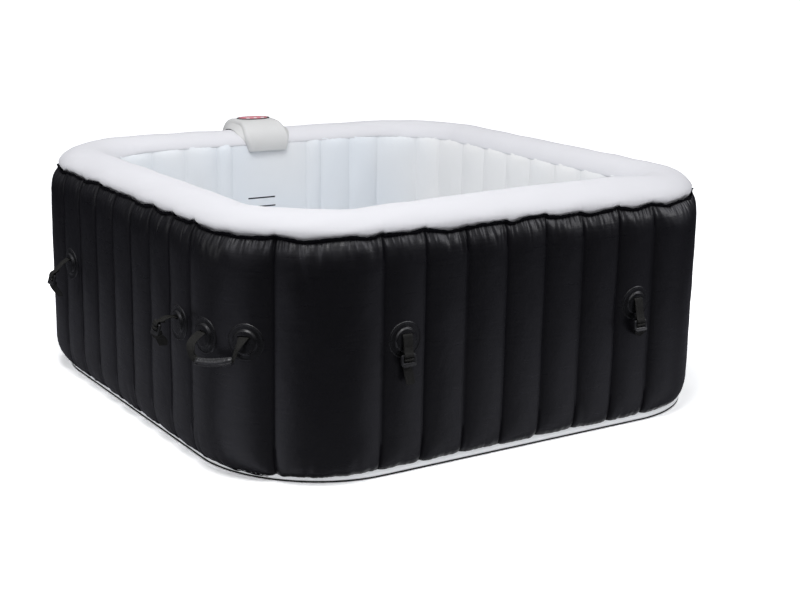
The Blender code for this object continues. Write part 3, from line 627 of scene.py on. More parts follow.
shell_grey = moulded("console_plastic", (0.60, 0.60, 0.595), 0.40, 0.42, 0.06, 620.0, 0.012)
case_black = moulded("moulded_black", (0.022, 0.022, 0.024), 0.50, 0.4, 0.22, 480.0, 0.1)
buckle_look = moulded("moulded_acetal", (0.011, 0.011, 0.012), 0.30, 0.55, 0.08, 700.0, 0.08)
pump_look = moulded("pump_plastic", (0.09, 0.095, 0.10), 0.45, 0.4, 0.15, 420.0, 0.06)
fitting = moulded("fitting_plastic", (0.72, 0.74, 0.765), 0.38, 0.45, 0.05, 500.0, 0.015)
key_look = moulded("key_plastic", (0.80, 0.74, 0.75), 0.35, 0.4, 0.04, 500.0, 0.01)
cable_look = moulded("cable_sheath", (0.014, 0.014, 0.015), 0.52, 0.35, 0.2, 600.0, 0.1)
line_look = moulded("printed_line", (0.018, 0.019, 0.024), 0.5, 0.3, 0.05, 500.0, 0.1)


def webbing_look(name, colour, pitch_across, pitch_along):
    """Woven strap: ribs along its length, crossed by fine picks."""
    look = Look(name, colour, 0.58, specular=0.20, space="cloth")
    ribs = look.bands(1.0 / pitch_across / 6.2832 * 3.1416, "X")
    picks = look.bands(1.0 / pitch_along / 6.2832 * 3.1416, "Y", 0.4)
    weave = look.sum(ribs, picks, 0.6)
    look.colour(look.ramp(weave, [(0.1, tint(colour, 0.55)), (0.9, tint(colour, 1.5))]))
    look.bump(weave, 0.75, 0.00045)
    look.bump(look.noise(900.0, 2), 0.25, 0.0002)
    look.set(Sheen_Weight=0.03, Sheen_Roughness=0.5)
    look.shader.inputs["Sheen Tint"].default_value = (0.5, 0.5, 0.45, 1)
    return look


webbing = webbing_look("strap_webbing", (0.0062, 0.0060, 0.0050), 0.0034, 0.0022)
grip_look = Look("grip_cover", (0.011, 0.011, 0.012), 0.30, specular=0.55, space="cloth")
grip_look.bump(grip_look.noise(240.0, 3, 0.6, 0.4, (1.0, 0.12, 1.0)), 0.6, 0.0016)
grip_look.bump(grip_look.noise(150.0, 2, 0.5, 0.8, (0.35, 1.0, 1.0)), 0.5, 0.0014)
grip_look.bump(grip_look.bands(260.0, "Y"), 0.35, 0.0003)
grip_look.colour(grip_look.ramp(grip_look.noise(120.0, 3), [(0.3, (0.007, 0.007, 0.008)), (0.7, (0.016, 0.016, 0.017))]))

steel = Look("brushed_steel", (0.55, 0.56, 0.58), 0.28, 1.0)
steel.roughness(steel.remap(steel.noise(300.0, 3, 0.6, 0, (0.05, 1, 1)), 0.3, 0.7, 0.2, 0.36))
steel.bump(steel.noise(600.0, 2, 0.6, 0, (0.04, 1, 1)), 0.15, 0.0002)
board = Look("circuit_laminate", (0.03, 0.16, 0.07), 0.42)
board.colour(board.ramp(board.cells(420.0, "DISTANCE_TO_EDGE"), [(0.04, (0.11, 0.30, 0.12)), (0.09, (0.02, 0.13, 0.055))]))
filter_look = Look("filter_cloth", (0.62, 0.68, 0.76), 0.85, specular=0.2)
filter_look.bump(filter_look.noise(900.0, 2), 0.5, 0.0004)
filter_look.colour(filter_look.ramp(filter_look.noise(60.0, 3), [(0.3, (0.56, 0.63, 0.72)), (0.7, (0.70, 0.75, 0.81))]))

# the display: a dark glossy window, rose in the middle, with faint pale glints
panel = Look("display_window", (0.60, 0.22, 0.26), 0.38, specular=0.18)
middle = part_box("display_lens")
centre = (middle[0] + middle[1]) / 2
size = middle[1] - middle[0]
mapping = panel.add("ShaderNodeMapping")
mapping.inputs["Location"].default_value = (-centre.x * 2 / size.x, -centre.y * 2 / size.y, 0)
mapping.inputs["Scale"].default_value = (2 / size.x, 2 / size.y, 0)
panel.link(panel.where, mapping.inputs["Vector"])
ball = panel.add("ShaderNodeVectorMath", operation="LENGTH")
panel.link(mapping.outputs["Vector"], ball.inputs[0])
rings = panel.ramp(ball.outputs["Value"], [
    (0.0, (0.80, 0.33, 0.37)), (0.60, (0.72, 0.24, 0.29)), (0.86, (0.62, 0.20, 0.24)), (0.93, (0.16, 0.10, 0.11)),
    (1.0, (0.05, 0.05, 0.054))])
panel.colour(rings)
panel.set(Coat_Weight=0.05, Coat_Roughness=0.2)
panel.bump(panel.noise(80.0, 2), 0.04, 0.0005)

print("materials ready")

# ------------------------------------------------------------------ the black wall
# (z, distance out of the groove line, share of the bulge)
TOP_SEAM_Z, LOW_SEAM_Z = 0.5925, 0.0105
WALL_PROFILE = [(0.0105, -0.0215, 0.0), (0.0140, -0.0165, 0.12), (0.0210, -0.0112, 0.30), (0.0335, -0.0060, 0.58),
                (0.0550, -0.0020, 0.86), (0.0880, 0.0, 1.0), (0.5150, 0.0, 1.0), (0.5380, -0.0008, 0.97),
                (0.5540, -0.0022, 0.90), (0.5680, -0.0045, 0.80), (0.5780, -0.0073, 0.68), (0.5862, -0.0104, 0.56),
                (0.5925, -0.0135, 0.46)]
PEAKS = np.random.default_rng(91).uniform(0.15, 1.0, len(OUT_FLUTES.starts))


def seam_height(u):
    """How far the top seam's line wanders up and down: it creeps up to each groove and drops away behind it."""
    k, along = OUT_FLUTES.find(u)
    left = OUT_FLUTES.lengths[k] - along
    side, run = OUTER.side_run(u)
    size = np.where(side == 0, 0.0062, 0.0078)
    nxt = (k + 1) % len(PEAKS)
    peak = size * (PEAKS[nxt] * np.exp(-(left / 0.026) ** 1.3) + PEAKS[k] * np.exp(-(along / 0.0055) ** 2))
    return wobble(u, OUTER.total, 11, [(0.40, 0.0030), (0.17, 0.0032), (0.085, 0.0013)]) + peak - 0.0020


ARCHES = np.random.default_rng(92).uniform(0.35, 1.0, len(OUT_FLUTES.starts))


def foot_height(u):
    """How far the bottom seam lifts: a small arch at each groove."""
    k, along = OUT_FLUTES.find(u)
    left = OUT_FLUTES.lengths[k] - along
    nxt = (k + 1) % len(ARCHES)
    arch = 0.0066 * (ARCHES[nxt] * np.exp(-(left / 0.0105) ** 2) + ARCHES[k] * np.exp(-(along / 0.0105) ** 2))
    side, run = OUTER.side_run(u)
    # on the left the wall rides a little higher and its arches are deeper
    left_side = np.where(side == 3, smoothstep((0.66 - np.abs(run)) / 0.16), 0.0)
    return wobble(u, OUTER.total, 23, [(0.30, 0.0011), (0.12, 0.0009)]) + arch * (1 + 0.5 * left_side) + 0.0050 * left_side


def wall_out(u, z):
    """How far the black wall stands out of the groove outline away from its seams."""
    out, share = curve_through(WALL_PROFILE, z)
    b = OUT_FLUTES.bulge(u)
    # a flute is rounder than a parabola near its grooves
    swell = b + 0.16 * np.sqrt(np.clip(b, 0, None) * NARROW_BULGE)
    crease = -0.0030 * np.exp(-(OUT_FLUTES.from_groove(u) / 0.0042) ** 2)
    soft = cloth_noise(u, z, OUTER.total, 5, [(0.20, 0.30, 0.0008), (0.09, 0.13, 0.00045)])
    fine = cloth_noise(u, z, OUTER.total, 6, [(0.036, 0.10, 0.00014), (0.030, 0.045, 0.00012)])
    middle = smoothstep((z - 0.06) / 0.06) * smoothstep((0.59 - z) / 0.06)
    return out + share * swell + crease * (0.45 + 0.55 * share) + (soft + fine) * middle


def wobble_free(values, reach):
    """A closed row of values, averaged over its neighbours on both sides."""
    out = np.zeros_like(values)
    weight = 0.0
    for k in range(-reach, reach + 1):
        w = math.cos(math.pi / 2 * k / (reach + 1)) ** 2
        out += w * np.roll(values, k)
        weight += w
    return out / weight


def wall_sheet():
    ratio = 3
    coarse, fine = 840, 2520
    total = OUTER.total
    top = np.array([0.5425, 0.5510, 0.5585, 0.5650, 0.5705, 0.5752, 0.5795, 0.5832, 0.5865, 0.5896, 0.5925])
    body = np.array([0.098, 0.112, 0.135, 0.170, 0.210, 0.250, 0.290, 0.315, 0.343, 0.371, 0.400, 0.430, 0.460,
                     0.490, 0.510, 0.527])
    foot = np.array([0.0105, 0.0130, 0.0168, 0.0225, 0.0305, 0.0400, 0.0520, 0.0655, 0.0815])
    uc = np.arange(coarse) * total / coarse
    uf = np.arange(fine) * total / fine

    def rows(zs, u):
        U, Z = np.meshgrid(u, zs)
        out = wall_out(U, Z)
        down = TOP_SEAM_Z - Z
        up = Z - LOW_SEAM_Z
        fade = smoothstep((Z - 0.44) / 0.15)
        pinch = (gathers(U, down, total, 101, 0.0105, 0.0056, 0.030, 0.0029, 0.10)
                 + gathers(U, down, total, 105, 0.0200, 0.0042, 0.042, 0.0044, 0.15)
                 + gathers(U, down, total, 102, 0.0560, 0.0040, 0.085, 0.0070, 0.25)
                 + gathers(U, up, total, 103, 0.0150, 0.0026, 0.024, 0.0042, 0.10)
                 + gathers(U, up, total, 104, 0.0640, 0.0040, 0.080, 0.0080, 0.2))
        # close to a seam the pinches can only be so deep
        deepest = 0.0062 + 0.0060 * smoothstep((np.minimum(down, up) - 0.002) / 0.016)
        out = out + deepest * np.tanh(pinch / deepest)
        Z = Z + seam_height(U) * fade + foot_height(U) * smoothstep((0.12 - Z) / 0.09)
        x, y, _, _ = OUTER.place(U, out)
        pts = np.stack([x, y, Z], -1).reshape(-1, 3)
        cloth = np.stack([U, Z, np.minimum(down, up)], -1).reshape(-1, 3)
        return pts, cloth, out

    def lip(profile, ruffle, jag, base, z0):
        made = []
        for out, rise, r_share, j_share in profile:
            x, y, _, _ = OUTER.place(uf, out + ruffle * r_share)
            made.append(np.stack([x, y, z0 + base + rise + jag * j_share], -1))
        return made

    fp, fc, foot_out = rows(foot, uf)
    bp, bc, _ = rows(body, uc)
    tp, tc, top_out = rows(top, uf)
    groove = np.exp(-(OUT_FLUTES.from_groove(uf) / 0.006) ** 2)
    # the welded lip that stands up along the top seam, up its outside and down its inside
    ruffle = wobble(uf, total, 31, [(0.075, 0.0012), (0.032, 0.0008), (0.017, 0.0003)]) + 0.0010 * groove
    jag = wobble(uf, total, 32, [(0.110, 0.0012), (0.048, 0.0010), (0.022, 0.0004)]) - 0.0012 * groove
    edge = top_out[-1]
    calm = wobble_free(edge, 24)
    top_lip = []
    for out, rise, r_share, j_share in ((0.0016, 0.0006, 0.1, 0.0), (0.0034, 0.0026, 0.4, 0.2), (0.0050, 0.0054, 0.8, 0.6),
                                        (0.0056, 0.0082, 1.0, 1.0), (0.0050, 0.0088, 1.0, 1.0), (0.0038, 0.0078, 0.9, 0.9),
                                        (0.0016, 0.0040, 0.6, 0.5), (-0.0030, 0.0006, 0.2, 0.0)):
        # near the seam the lip follows the gathers, further up it is straighter
        follow = max(0.0, 1 - rise / 0.0045)
        x, y, _, _ = OUTER.place(uf, out + edge * follow + calm * (1 - follow) + ruffle * r_share)
        top_lip.append(np.stack([x, y, TOP_SEAM_Z + seam_height(uf) + rise + jag * j_share], -1))
    # the narrow lip that hangs from the bottom seam, tucked in against the foot
    hang = wobble(uf, total, 35, [(0.090, 0.0010), (0.040, 0.0007)])
    drop = wobble(uf, total, 36, [(0.12, 0.0008), (0.050, 0.0007)])
    low_lip = []
    for out, rise, r_share, j_share in ((-0.0285, 0.0030, 0.0, 0.0), (-0.0268, -0.0010, 0.4, 0.3),
                                        (-0.0254, -0.0028, 0.9, 0.8), (-0.0246, -0.0037, 1.0, 1.0),
                                        (-0.0236, -0.0041, 1.0, 1.0), (-0.0228, -0.0035, 1.0, 1.0),
                                        (-0.0222, -0.0028, 0.9, 0.7), (-0.0216, -0.0014, 0.5, 0.3),
                                        (-0.0222, -0.0004, 0.1, 0.0)):
        x, y, _, _ = OUTER.place(uf, out + hang * r_share)
        low_lip.append(np.stack([x, y, LOW_SEAM_Z + foot_height(uf) + rise + drop * j_share], -1))
    groups = [np.concatenate(low_lip + [fp]), bp, np.concatenate([tp] + top_lip)]
    lows = np.concatenate([np.stack([uf, l[:, 2], np.zeros(fine)], -1) for l in low_lip])
    tops = np.concatenate([np.stack([uf, l[:, 2], np.zeros(fine)], -1) for l in top_lip])
    points = np.concatenate(groups)
    cloth = np.concatenate([lows, fc, bc, tc, tops])
    b = len(groups[0])
    c = b + len(bp)
    faces = ring_faces(len(low_lip) + len(foot), fine, 0)
    faces += ring_faces(len(body), coarse, b)
    faces += ring_faces(len(top) + len(top_lip), fine, c)
    last_foot = [(len(low_lip) + len(foot) - 1) * fine + i for i in range(fine)]
    first_body = [b + i for i in range(coarse)]
    last_body = [b + (len(body) - 1) * coarse + i for i in range(coarse)]
    first_top = [c + i for i in range(fine)]
    faces += stitch(last_body, first_top, ratio)
    faces += stitch(first_body, last_foot, ratio, flip=True)
    obj = mesh_object("outer_wall_skin", points, faces, black.mat, cloth=cloth)
    # how near each place is to a welded groove, for the fabric's tone there
    weld = obj.data.attributes.new("weld", "FLOAT", "POINT")
    hem = np.where(cloth[:, 1] < 0.2, np.exp(-(cloth[:, 2] / 0.0078) ** 4), np.exp(-(cloth[:, 2] / 0.0030) ** 2))
    near = np.maximum(np.exp(-(OUT_FLUTES.from_groove(cloth[:, 0]) / 0.0042) ** 2), hem)
    weld.data.foreach_set("value", np.asarray(near, np.float32))
    return obj


wall = wall_sheet()
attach(wall, "tub")
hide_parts("outer_wall")
print("wall ready", len(wall.data.vertices))

# ------------------------------------------------------------------ the white rim
RIM_LINE = [(-0.0262, 0.5880), (-0.0246, 0.5925), (-0.0214, 0.5968), (-0.0168, 0.6012), (-0.0126, 0.6062),
            (-0.0112, 0.6118), (-0.0132, 0.6176), (-0.0174, 0.6235), (-0.0232, 0.6295), (-0.0305, 0.6350),
            (-0.0395, 0.6400), (-0.0500, 0.6446), (-0.0615, 0.6482), (-0.0735, 0.6506), (-0.0860, 0.6518),
            (-0.0985, 0.6516), (-0.1105, 0.6498), (-0.1215, 0.6466), (-0.1315, 0.6420), (-0.1405, 0.6362),
            (-0.1480, 0.6295), (-0.1540, 0.6222), (-0.1585, 0.6150), (-0.1612, 0.6090), (-0.1626, 0.6040)]


def inner_seam(side, run):
    """How much higher the rim's inner seam sits along the back."""
    return 0.0075 * np.where(side == 2, smoothstep((0.62 - np.abs(run)) / 0.25), 0.0)


def rim_sheet():
    count = 1440
    total = OUTER.total
    u = np.arange(count) * total / count
    base = seam_height(u)
    side, run = OUTER.side_run(u)
    bulge = OUT_FLUTES.bulge(u)
    # the front of the rim is plumper towards its right end
    plump = np.where(side == 0, 0.0115 * smoothstep((run + 0.46) / 0.70) * smoothstep((0.60 - run) / 0.22) - 0.0035
                     * np.exp(-((run + 0.46) / 0.14) ** 2), np.where(side == 3, -0.0035 * np.exp(-((run - 0.52) / 0.10) ** 2), 0.0))
    groove = np.exp(-(OUT_FLUTES.from_groove(u) / 0.0075) ** 2)
    near_corner = np.clip((np.abs(OUTER.side_run(u)[1]) - 0.30) / 0.12, 0, 1)
    rows = []
    step = len(RIM_LINE)
    wave = cloth_noise(u, np.zeros_like(u), total, 41, [(0.35, 1.0, 0.0010), (0.14, 1.0, 0.0006)])
    for k, (out, z) in enumerate(RIM_LINE):
        low = max(0.0, 1 - k / 9)
        high = math.sin(math.pi * k / (step - 1))
        inner_side = smoothstep(np.array((k - step * 0.60) / (step * 0.40)))
        # folds of the rim that start at the wall's grooves
        pinch = -0.0016 * groove * (0.35 + 0.65 * near_corner) * (smoothstep(np.array(1 - k / 11.0)))
        small = wobble(u, total, 42, [(0.030, 0.00035), (0.016, 0.00022)]) * low
        inner_fold = -0.0007 * inner_side * (0.5 + 0.5 * np.sin(2 * math.pi * u / total * 46 + 1.3)) ** 6
        soft = cloth_noise(u, np.full_like(u, k * 0.014), total, 43, [(0.26, 0.12, 0.0008), (0.10, 0.07, 0.00030)]) * high
        nx, nz = normal_of(RIM_LINE, k)
        shift = pinch + small + inner_fold + soft + wave * high * 0.6
        x, y, _, _ = OUTER.place(u, out + nx * shift + 0.42 * bulge * low ** 1.3)
        back = smoothstep(np.array((k - 15) / 9.0))
        lift = inner_seam(side, run) * back + plump * smoothstep(np.array((k - 10) / 6.0)) * smoothstep(np.array((24.5 - k) / 6.0))
        rows.append(np.stack([x, y, z + nz * shift + base * low ** 1.5 + lift], -1))
    # the inner seam: the sheet turns in behind the basin's top edge
    for out, z in ((-0.1622, 0.6018), (-0.1600, 0.6004), (-0.1570, 0.5998)):
        x, y, _, _ = OUTER.place(u, out)
        rows.append(np.stack([x, y, z + inner_seam(side, run)], -1))
    step += 3
    points = np.concatenate(rows)
    cloth = np.concatenate([np.stack([u, r[:, 2], np.zeros(count)], -1) for r in rows])
    return mesh_object("rim_skin", points, ring_faces(step, count), white.mat, cloth=cloth)


def normal_of(line, k):
    """The outward direction of a profile of (out, z) that runs from its outer foot over the top."""
    before, after = line[max(0, k - 1)], line[min(len(line) - 1, k + 1)]
    tx, tz = after[0] - before[0], after[1] - before[1]
    length = math.hypot(tx, tz)
    return tz / length, -tx / length


rim = thicken(rim_sheet(), 0.0010)
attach(rim, "tub")
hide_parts("top_rim")
print("rim ready")

# ------------------------------------------------------------------ the basin's wall
# rows from the top seam down: (z, outward, share of the bulge)
BASIN_PROFILE = [(0.0045, -0.0080, 0.0), (0.030, -0.0040, 0.45), (0.060, -0.0015, 0.85), (0.085, 0.0, 1.0),
                 (0.535, 0.0, 1.0), (0.558, -0.0004, 0.95), (0.576, -0.0010, 0.84), (0.590, -0.0018, 0.66),
                 (0.598, -0.0026, 0.46), (0.6030, -0.0034, 0.28)]


def basin_out(u, z):
    out, share = curve_through(BASIN_PROFILE, z)
    b = IN_FLUTES.bulge(u)
    crease = -0.0014 * np.exp(-(IN_FLUTES.from_groove(u) / 0.0045) ** 2)
    soft = cloth_noise(u, z, INNER.total, 51, [(0.18, 0.25, 0.0008), (0.08, 0.12, 0.0004)])
    middle = smoothstep((z - 0.03) / 0.06) * smoothstep((0.595 - z) / 0.06)
    pocket = 1 - 0.85 * np.exp(-(np.mod(u - INNER.at(2, 0.0) + INNER.total / 2, INNER.total) - INNER.total / 2) ** 2 / 0.016)
    return out + share * b + crease * (0.3 + 0.7 * share) + soft * middle * pocket


def basin_sheet():
    count = 1200
    total = INNER.total
    zs = np.array([0.6030, 0.6005, 0.5970, 0.5920, 0.585, 0.577, 0.567, 0.554, 0.538, 0.515, 0.49, 0.46, 0.43, 0.40,
                   0.37, 0.34, 0.31, 0.28, 0.25, 0.22, 0.19, 0.16, 0.13, 0.105, 0.085, 0.068, 0.052, 0.038, 0.025,
                   0.014, 0.0045])
    u = np.arange(count) * total / count
    U, Z = np.meshgrid(u, zs)
    out = basin_out(U, Z)
    down = 0.6035 - Z
    out = out + gathers(U, down, total, 61, 0.021, 0.0011, 0.030, 0.0050, 0.15)
    out = out + gathers(U, Z, total, 62, 0.026, 0.0014, 0.035, 0.0056, 0.15)
    x, y, _, _ = INNER.place(U, -out)
    side, run = INNER.side_run(U)
    Z = Z + inner_seam(side, run / 0.597 * 0.7605) * smoothstep((Z - 0.50) / 0.10)
    # a narrow welded band along the top, that laps up behind the rim's edge
    side, run = INNER.side_run(u)
    lip = []
    for o, z in ((-0.0040, 0.6085), (-0.0034, 0.6072), (-0.0026, 0.6052)):
        lx, ly, _, _ = INNER.place(u, -o)
        lip.append(np.stack([lx, ly, np.full(count, z) + inner_seam(side, run / 0.597 * 0.7605)], -1))
    points = np.concatenate(lip + [np.stack([x, y, Z], -1).reshape(-1, 3)])
    obj = mesh_object("basin_wall_skin", points, ring_faces(len(zs) + 3, count), inside.mat)
    return obj


basin = thicken(basin_sheet(), 0.0009, 1.0)
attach(basin, "tub")
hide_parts("inner_wall")
print("basin ready")


# ------------------------------------------------------------------ base sheet: the basin's floor and the foot band
def foot_lean(x, y):
    """How far the foot stands in from its usual line (negative: further out); it comes well forward in front."""
    return -0.0108 - 0.0162 * smoothstep((-y / 0.76 - 0.35) / 0.55) * smoothstep((x / 0.76 + 1.0) / 0.5)


def base_skin():
    count = 600
    total = OUTER.total
    u = np.arange(count) * total / count
    rows = []
    wav = foot_height(u)
    ruffle = wobble(u, total, 72, [(0.060, 0.0008), (0.024, 0.0006)])
    # the band that shows under the black wall, from the welded edge down to the ground
    side, run = OUTER.side_run(u)
    # the foot stands a little further in on the left and back than in front
    x1, y1, _, _ = OUTER.place(u, 0.0)
    lean = foot_lean(x1, y1)
    for out, z, share in ((-0.0290, 0.0290, 0.4), (-0.0300, 0.0240, 0.4), (-0.0312, 0.0180, 0.4),
                          (-0.0328, 0.0125, 0.4), (-0.0352, 0.0080, 0.4), (-0.0385, 0.0046, 0.3), (-0.0425, 0.0022, 0.1),
                          (-0.0500, 0.0010, 0.0), (-0.0620, 0.0006, 0.0)):
        deep = smoothstep(np.array((0.029 - z) / 0.022))
        x, y, _, _ = OUTER.place(u, out - lean * deep + ruffle * share)
        rows.append(np.stack([x, y, z + wav * share * (z > 0.02)], -1))
    x0, y0, _, _ = OUTER.place(u, -0.0620 - lean)
    inner_scale = np.concatenate([np.linspace(0.965, 0.06, 44)])
    rng = np.random.default_rng(77)
    waves = [(rng.uniform(5, 26), rng.uniform(0, 6.283), rng.uniform(0, 6.283), rng.uniform(0.3, 1)) for _ in range(26)]
    for s in inner_scale:
        x, y = x0 * s, y0 * s
        h = np.zeros(count)
        for k, a, p, w in waves:
            h += w * np.abs(np.sin(k * (x * math.cos(a) + y * math.sin(a)) + p)) ** 3
        edge = smoothstep((s - 0.0) / 0.2) * smoothstep((0.80 - s) / 0.10)
        rows.append(np.stack([x, y, 0.0007 + 0.00019 * h * edge], -1))
    points = np.concatenate(rows)
    faces = ring_faces(len(rows), count, flip=True)
    last = (len(rows) - 1) * count
    points = np.concatenate([points, [[0, 0, 0.0008]]])
    tip = len(points) - 1
    faces += [(last + (i + 1) % count, last + i, tip) for i in range(count)]
    obj = mesh_object("base_skin", points, faces, floor_cloth.mat)
    # the foot band glows a little: painted light that keeps it white in the shade under the black wall
    band = obj.data.attributes.new("band", "FLOAT", "POINT")
    value = np.zeros(len(points))
    value[:9 * count] = 1.0
    band.data.foreach_set("value", value.astype(np.float32))
    return obj


base = base_skin()
modifier = base.modifiers.new("skin", "SOLIDIFY")
modifier.thickness = 0.0006
modifier.offset = 1.0
modifier.use_even_offset = False
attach(base, "tub")
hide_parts("base_sheet")


def turned_edge_and_shadow():
    """The base sheet's turned edge: a thin dark bead on the ground all round the foot, partly the real edge and partly
    a painted contact shadow line.
    """
    count = 600
    u = np.arange(count) * OUTER.total / count
    x1, y1, _, _ = OUTER.place(u, 0.0)
    lean = foot_lean(x1, y1)
    rows = []
    for k in range(8):
        a = 2 * math.pi * k / 8
        x, y, _, _ = OUTER.place(u, -0.0378 - lean + 0.0024 * math.cos(a))
        rows.append(np.stack([x, y, np.full(count, 0.0021) + 0.0020 * math.sin(a)], -1))
    points = np.concatenate(rows)
    faces = ring_faces(8, count)
    last = 7 * count
    faces += [(last + i, last + (i + 1) % count, (i + 1) % count, i) for i in range(count)]
    obj = mesh_object("turned_edge_and_shadow", points, faces, bead_shadow_look.mat)
    face_out(obj)
    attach(obj, "tub")


# the bead's dark colour is partly the turned edge and partly painted contact shadow
bead_shadow_look = moulded("bead_and_contact_shadow", (0.018, 0.018, 0.017), 0.60, 0.2, 0.05, 500.0, 0.1)
turned_edge_and_shadow()


def bubble_ring():
    """The air channel round the basin's foot, with its row of outlets."""
    count = 720
    total = INNER.total
    u = np.arange(count) * total / count
    line = [(-0.0130, 0.0405), (-0.0170, 0.0408), (-0.0225, 0.0392), (-0.0285, 0.0350), (-0.0330, 0.0290),
            (-0.0360, 0.0220), (-0.0375, 0.0150), (-0.0380, 0.0085), (-0.0395, 0.0038), (-0.0430, 0.0026),
            (-0.0460, 0.0024)]
    spacing = total / 112
    from_hole = np.abs(np.mod(u, spacing) - spacing / 2)
    rows = []
    for k, (out, z) in enumerate(line):
        nx, nz = -normal_of(line, k)[0], -normal_of(line, k)[1]
        soft = wobble(u, total, 81 + k // 3, [(0.12, 0.0005), (0.05, 0.0003)]) * min(1, k / 2, (len(line) - 1 - k) / 2)
        # a welded dimple round each outlet
        dimple = -0.0022 * np.exp(-(from_hole / 0.0052) ** 2) * math.exp(-((k - 3.4) / 1.1) ** 2)
        shift = soft + dimple
        x, y, _, _ = INNER.place(u, out - abs(nx) * shift)
        rows.append(np.stack([x, y, z + abs(nz) * shift], -1))
    obj = mesh_object("bubble_channel_skin", np.concatenate(rows), ring_faces(len(rows), count, flip=True), inside.mat)
    face_out(obj)
    return obj, spacing


channel, hole_spacing = bubble_ring()
thicken(channel, 0.0008)
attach(channel, "tub")
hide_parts("bubble_channel")


def outlets():
    """Rings round the air outlets, one small ring for each."""
    points, faces = [], []
    n = round(INNER.total / hole_spacing)
    major, minor, around, section = 0.0031, 0.0008, 14, 6
    for i in range(n):
        u = (i + 0.5) * hole_spacing
        x, y, nx, ny = [float(v) for v in INNER.place(u, -0.0287)]
        face = Vector((-nx, -ny, 0)) * 0.66 + Vector((0, 0, 0.75))
        face.normalize()
        side = Vector((-ny, nx, 0))
        up = face.cross(side)
        home = Vector((x, y, 0.0338)) - face * 0.0006
        start = len(points)
        for a in range(around):
            t = 2 * math.pi * a / around
            radial = side * math.cos(t) + up * math.sin(t)
            for b in range(section):
                p = 2 * math.pi * b / section
                points.append(home + radial * (major + minor * math.cos(p)) + face * (minor * math.sin(p)))
        for a in range(around):
            for b in range(section):
                a2, b2 = (a + 1) % around, (b + 1) % section
                faces.append((start + a * section + b, start + a * section + b2, start + a2 * section + b2,
                              start + a2 * section + b))
    obj = mesh_object("air_outlet_rings", points, faces, fitting.mat)
    face_out(obj)
    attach(obj, "tub")


outlets()


def level_lines():
    """The two water-level lines on the flat panel, thin inked strips."""
    for name, x0, x1, z0, tall in (("level_line_high", -0.081, 0.0150, 0.4365, 0.0044),
                                   ("level_line_low", -0.081, 0.0170, 0.4080, 0.0044)):
        points, n = [], 24
        for i in range(n + 1):
            x = x0 + (x1 - x0) * i / n
            run = -x
            for z in (z0 + tall / 2, z0 - tall / 2):
                u = np.array([INNER.at(2, run)])
                out = float(basin_out(u, np.array([z]))[0])
                px, py, nx, ny = [float(v[0]) for v in INNER.place(u, np.array([-(out + 0.0012)]))]
                points.append((px, py, z))
        faces = [(2 * i, 2 * i + 1, 2 * i + 3, 2 * i + 2) for i in range(n)]
        obj = mesh_object(name, points, faces, line_look.mat)
        face_out(obj)
        thicken(obj, 0.00025, 0.0)
        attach(obj, "tub")


level_lines()
print("basin details ready")


# ------------------------------------------------------------------ welded discs
def disc_skin(name, node, u0, z0, slot_up, slot_half):
    """A round flange welded to the wall, with a raised dome and the slit its webbing comes out of."""
    sides = 84
    radii = [0.0010, 0.004, 0.007, 0.0095, 0.0118, 0.0138, 0.0155, 0.0170, 0.0185, 0.0200, 0.0215, 0.0230, 0.0245,
             0.0258, 0.0270, 0.0281, 0.0291, 0.0300, 0.0308, 0.0318, 0.0332, 0.0346, 0.0360, 0.0378, 0.0396, 0.0412,
             0.0426, 0.0438, 0.0447, 0.0452, 0.0455]
    a = np.arange(sides) * 2 * math.pi / sides
    R, A = np.meshgrid(np.array(radii), a, indexing="ij")
    along, up = R * np.cos(A), R * np.sin(A)
    # height above the wall
    shoulder = smoothstep((0.0322 - R) / 0.0058)
    h = 0.0013 + (DOME_H - 0.0013 + 0.0004 * (1 - (R / 0.026) ** 2).clip(0)) * shoulder
    h += 0.00075 * np.exp(-((R - 0.0425) / 0.0014) ** 2)
    h += 0.00022 * np.sin(A * 3 + z0 * 50 + u0 * 9) * smoothstep((R - 0.031) / 0.01)
    h -= 0.0016 * smoothstep((R - 0.0441) / 0.0014)
    # the slit
    dx = (np.abs(along) - slot_half) / 0.0011
    dz = (np.abs(up - slot_up) - 0.0019) / 0.0010
    hole = (1 - smoothstep(dx * 0.5 + 0.5)) * (1 - smoothstep(dz * 0.5 + 0.5))
    lip = np.exp(-(np.clip(dx, 0, None) ** 2 + np.clip(dz - 0.9, 0, None) ** 2 + np.clip(0.9 - dz, 0, None) ** 2) * 0.7)
    h = h + 0.0005 * lip * (1 - hole) - 0.0060 * hole
    wide = abs(abs(float(OUTER.side_run(np.array([u0]))[1][0])) - OUTER.quarter / 2) < OUTER.quarter / 2 - STRAIGHT
    u = u0 + along * (OUTER_R / (OUTER_R + 0.012) if wide else 1.0)
    z = z0 + up
    out = wall_out(u, z)
    x, y, _, _ = OUTER.place(u, out + 0.0004 + h)
    top = np.stack([x, y, z], -1).reshape(-1, 3)
    # underside: a plain sheet just off the wall
    x, y, _, _ = OUTER.place(u, out + 0.0003 - 0.0 * R)
    bottom_rows = [30, 24, 15, 6, 0]
    bottom = np.stack([x, y, z], -1)[bottom_rows].reshape(-1, 3)
    points = np.concatenate([top, bottom])
    n = len(radii)
    faces = ring_faces(n, sides, flip=True)
    start = n * sides
    last = (n - 1) * sides
    faces += [(last + (i + 1) % sides, last + i, start + i, start + (i + 1) % sides)[::-1] for i in range(sides)]
    faces += ring_faces(len(bottom_rows), sides, start, flip=True)
    faces.append(tuple(range(sides)))
    end = start + (len(bottom_rows) - 1) * sides
    faces.append(tuple(end + i for i in range(sides))[::-1])
    obj = mesh_object(name, points, faces, disc_look.mat)
    face_out(obj)
    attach(obj, "tub")
    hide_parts(node)
    return obj


disc_look = moulded("welded_disc", (0.0044, 0.0044, 0.0050), 0.28, 0.32, 0.04, 420.0, 0.1)

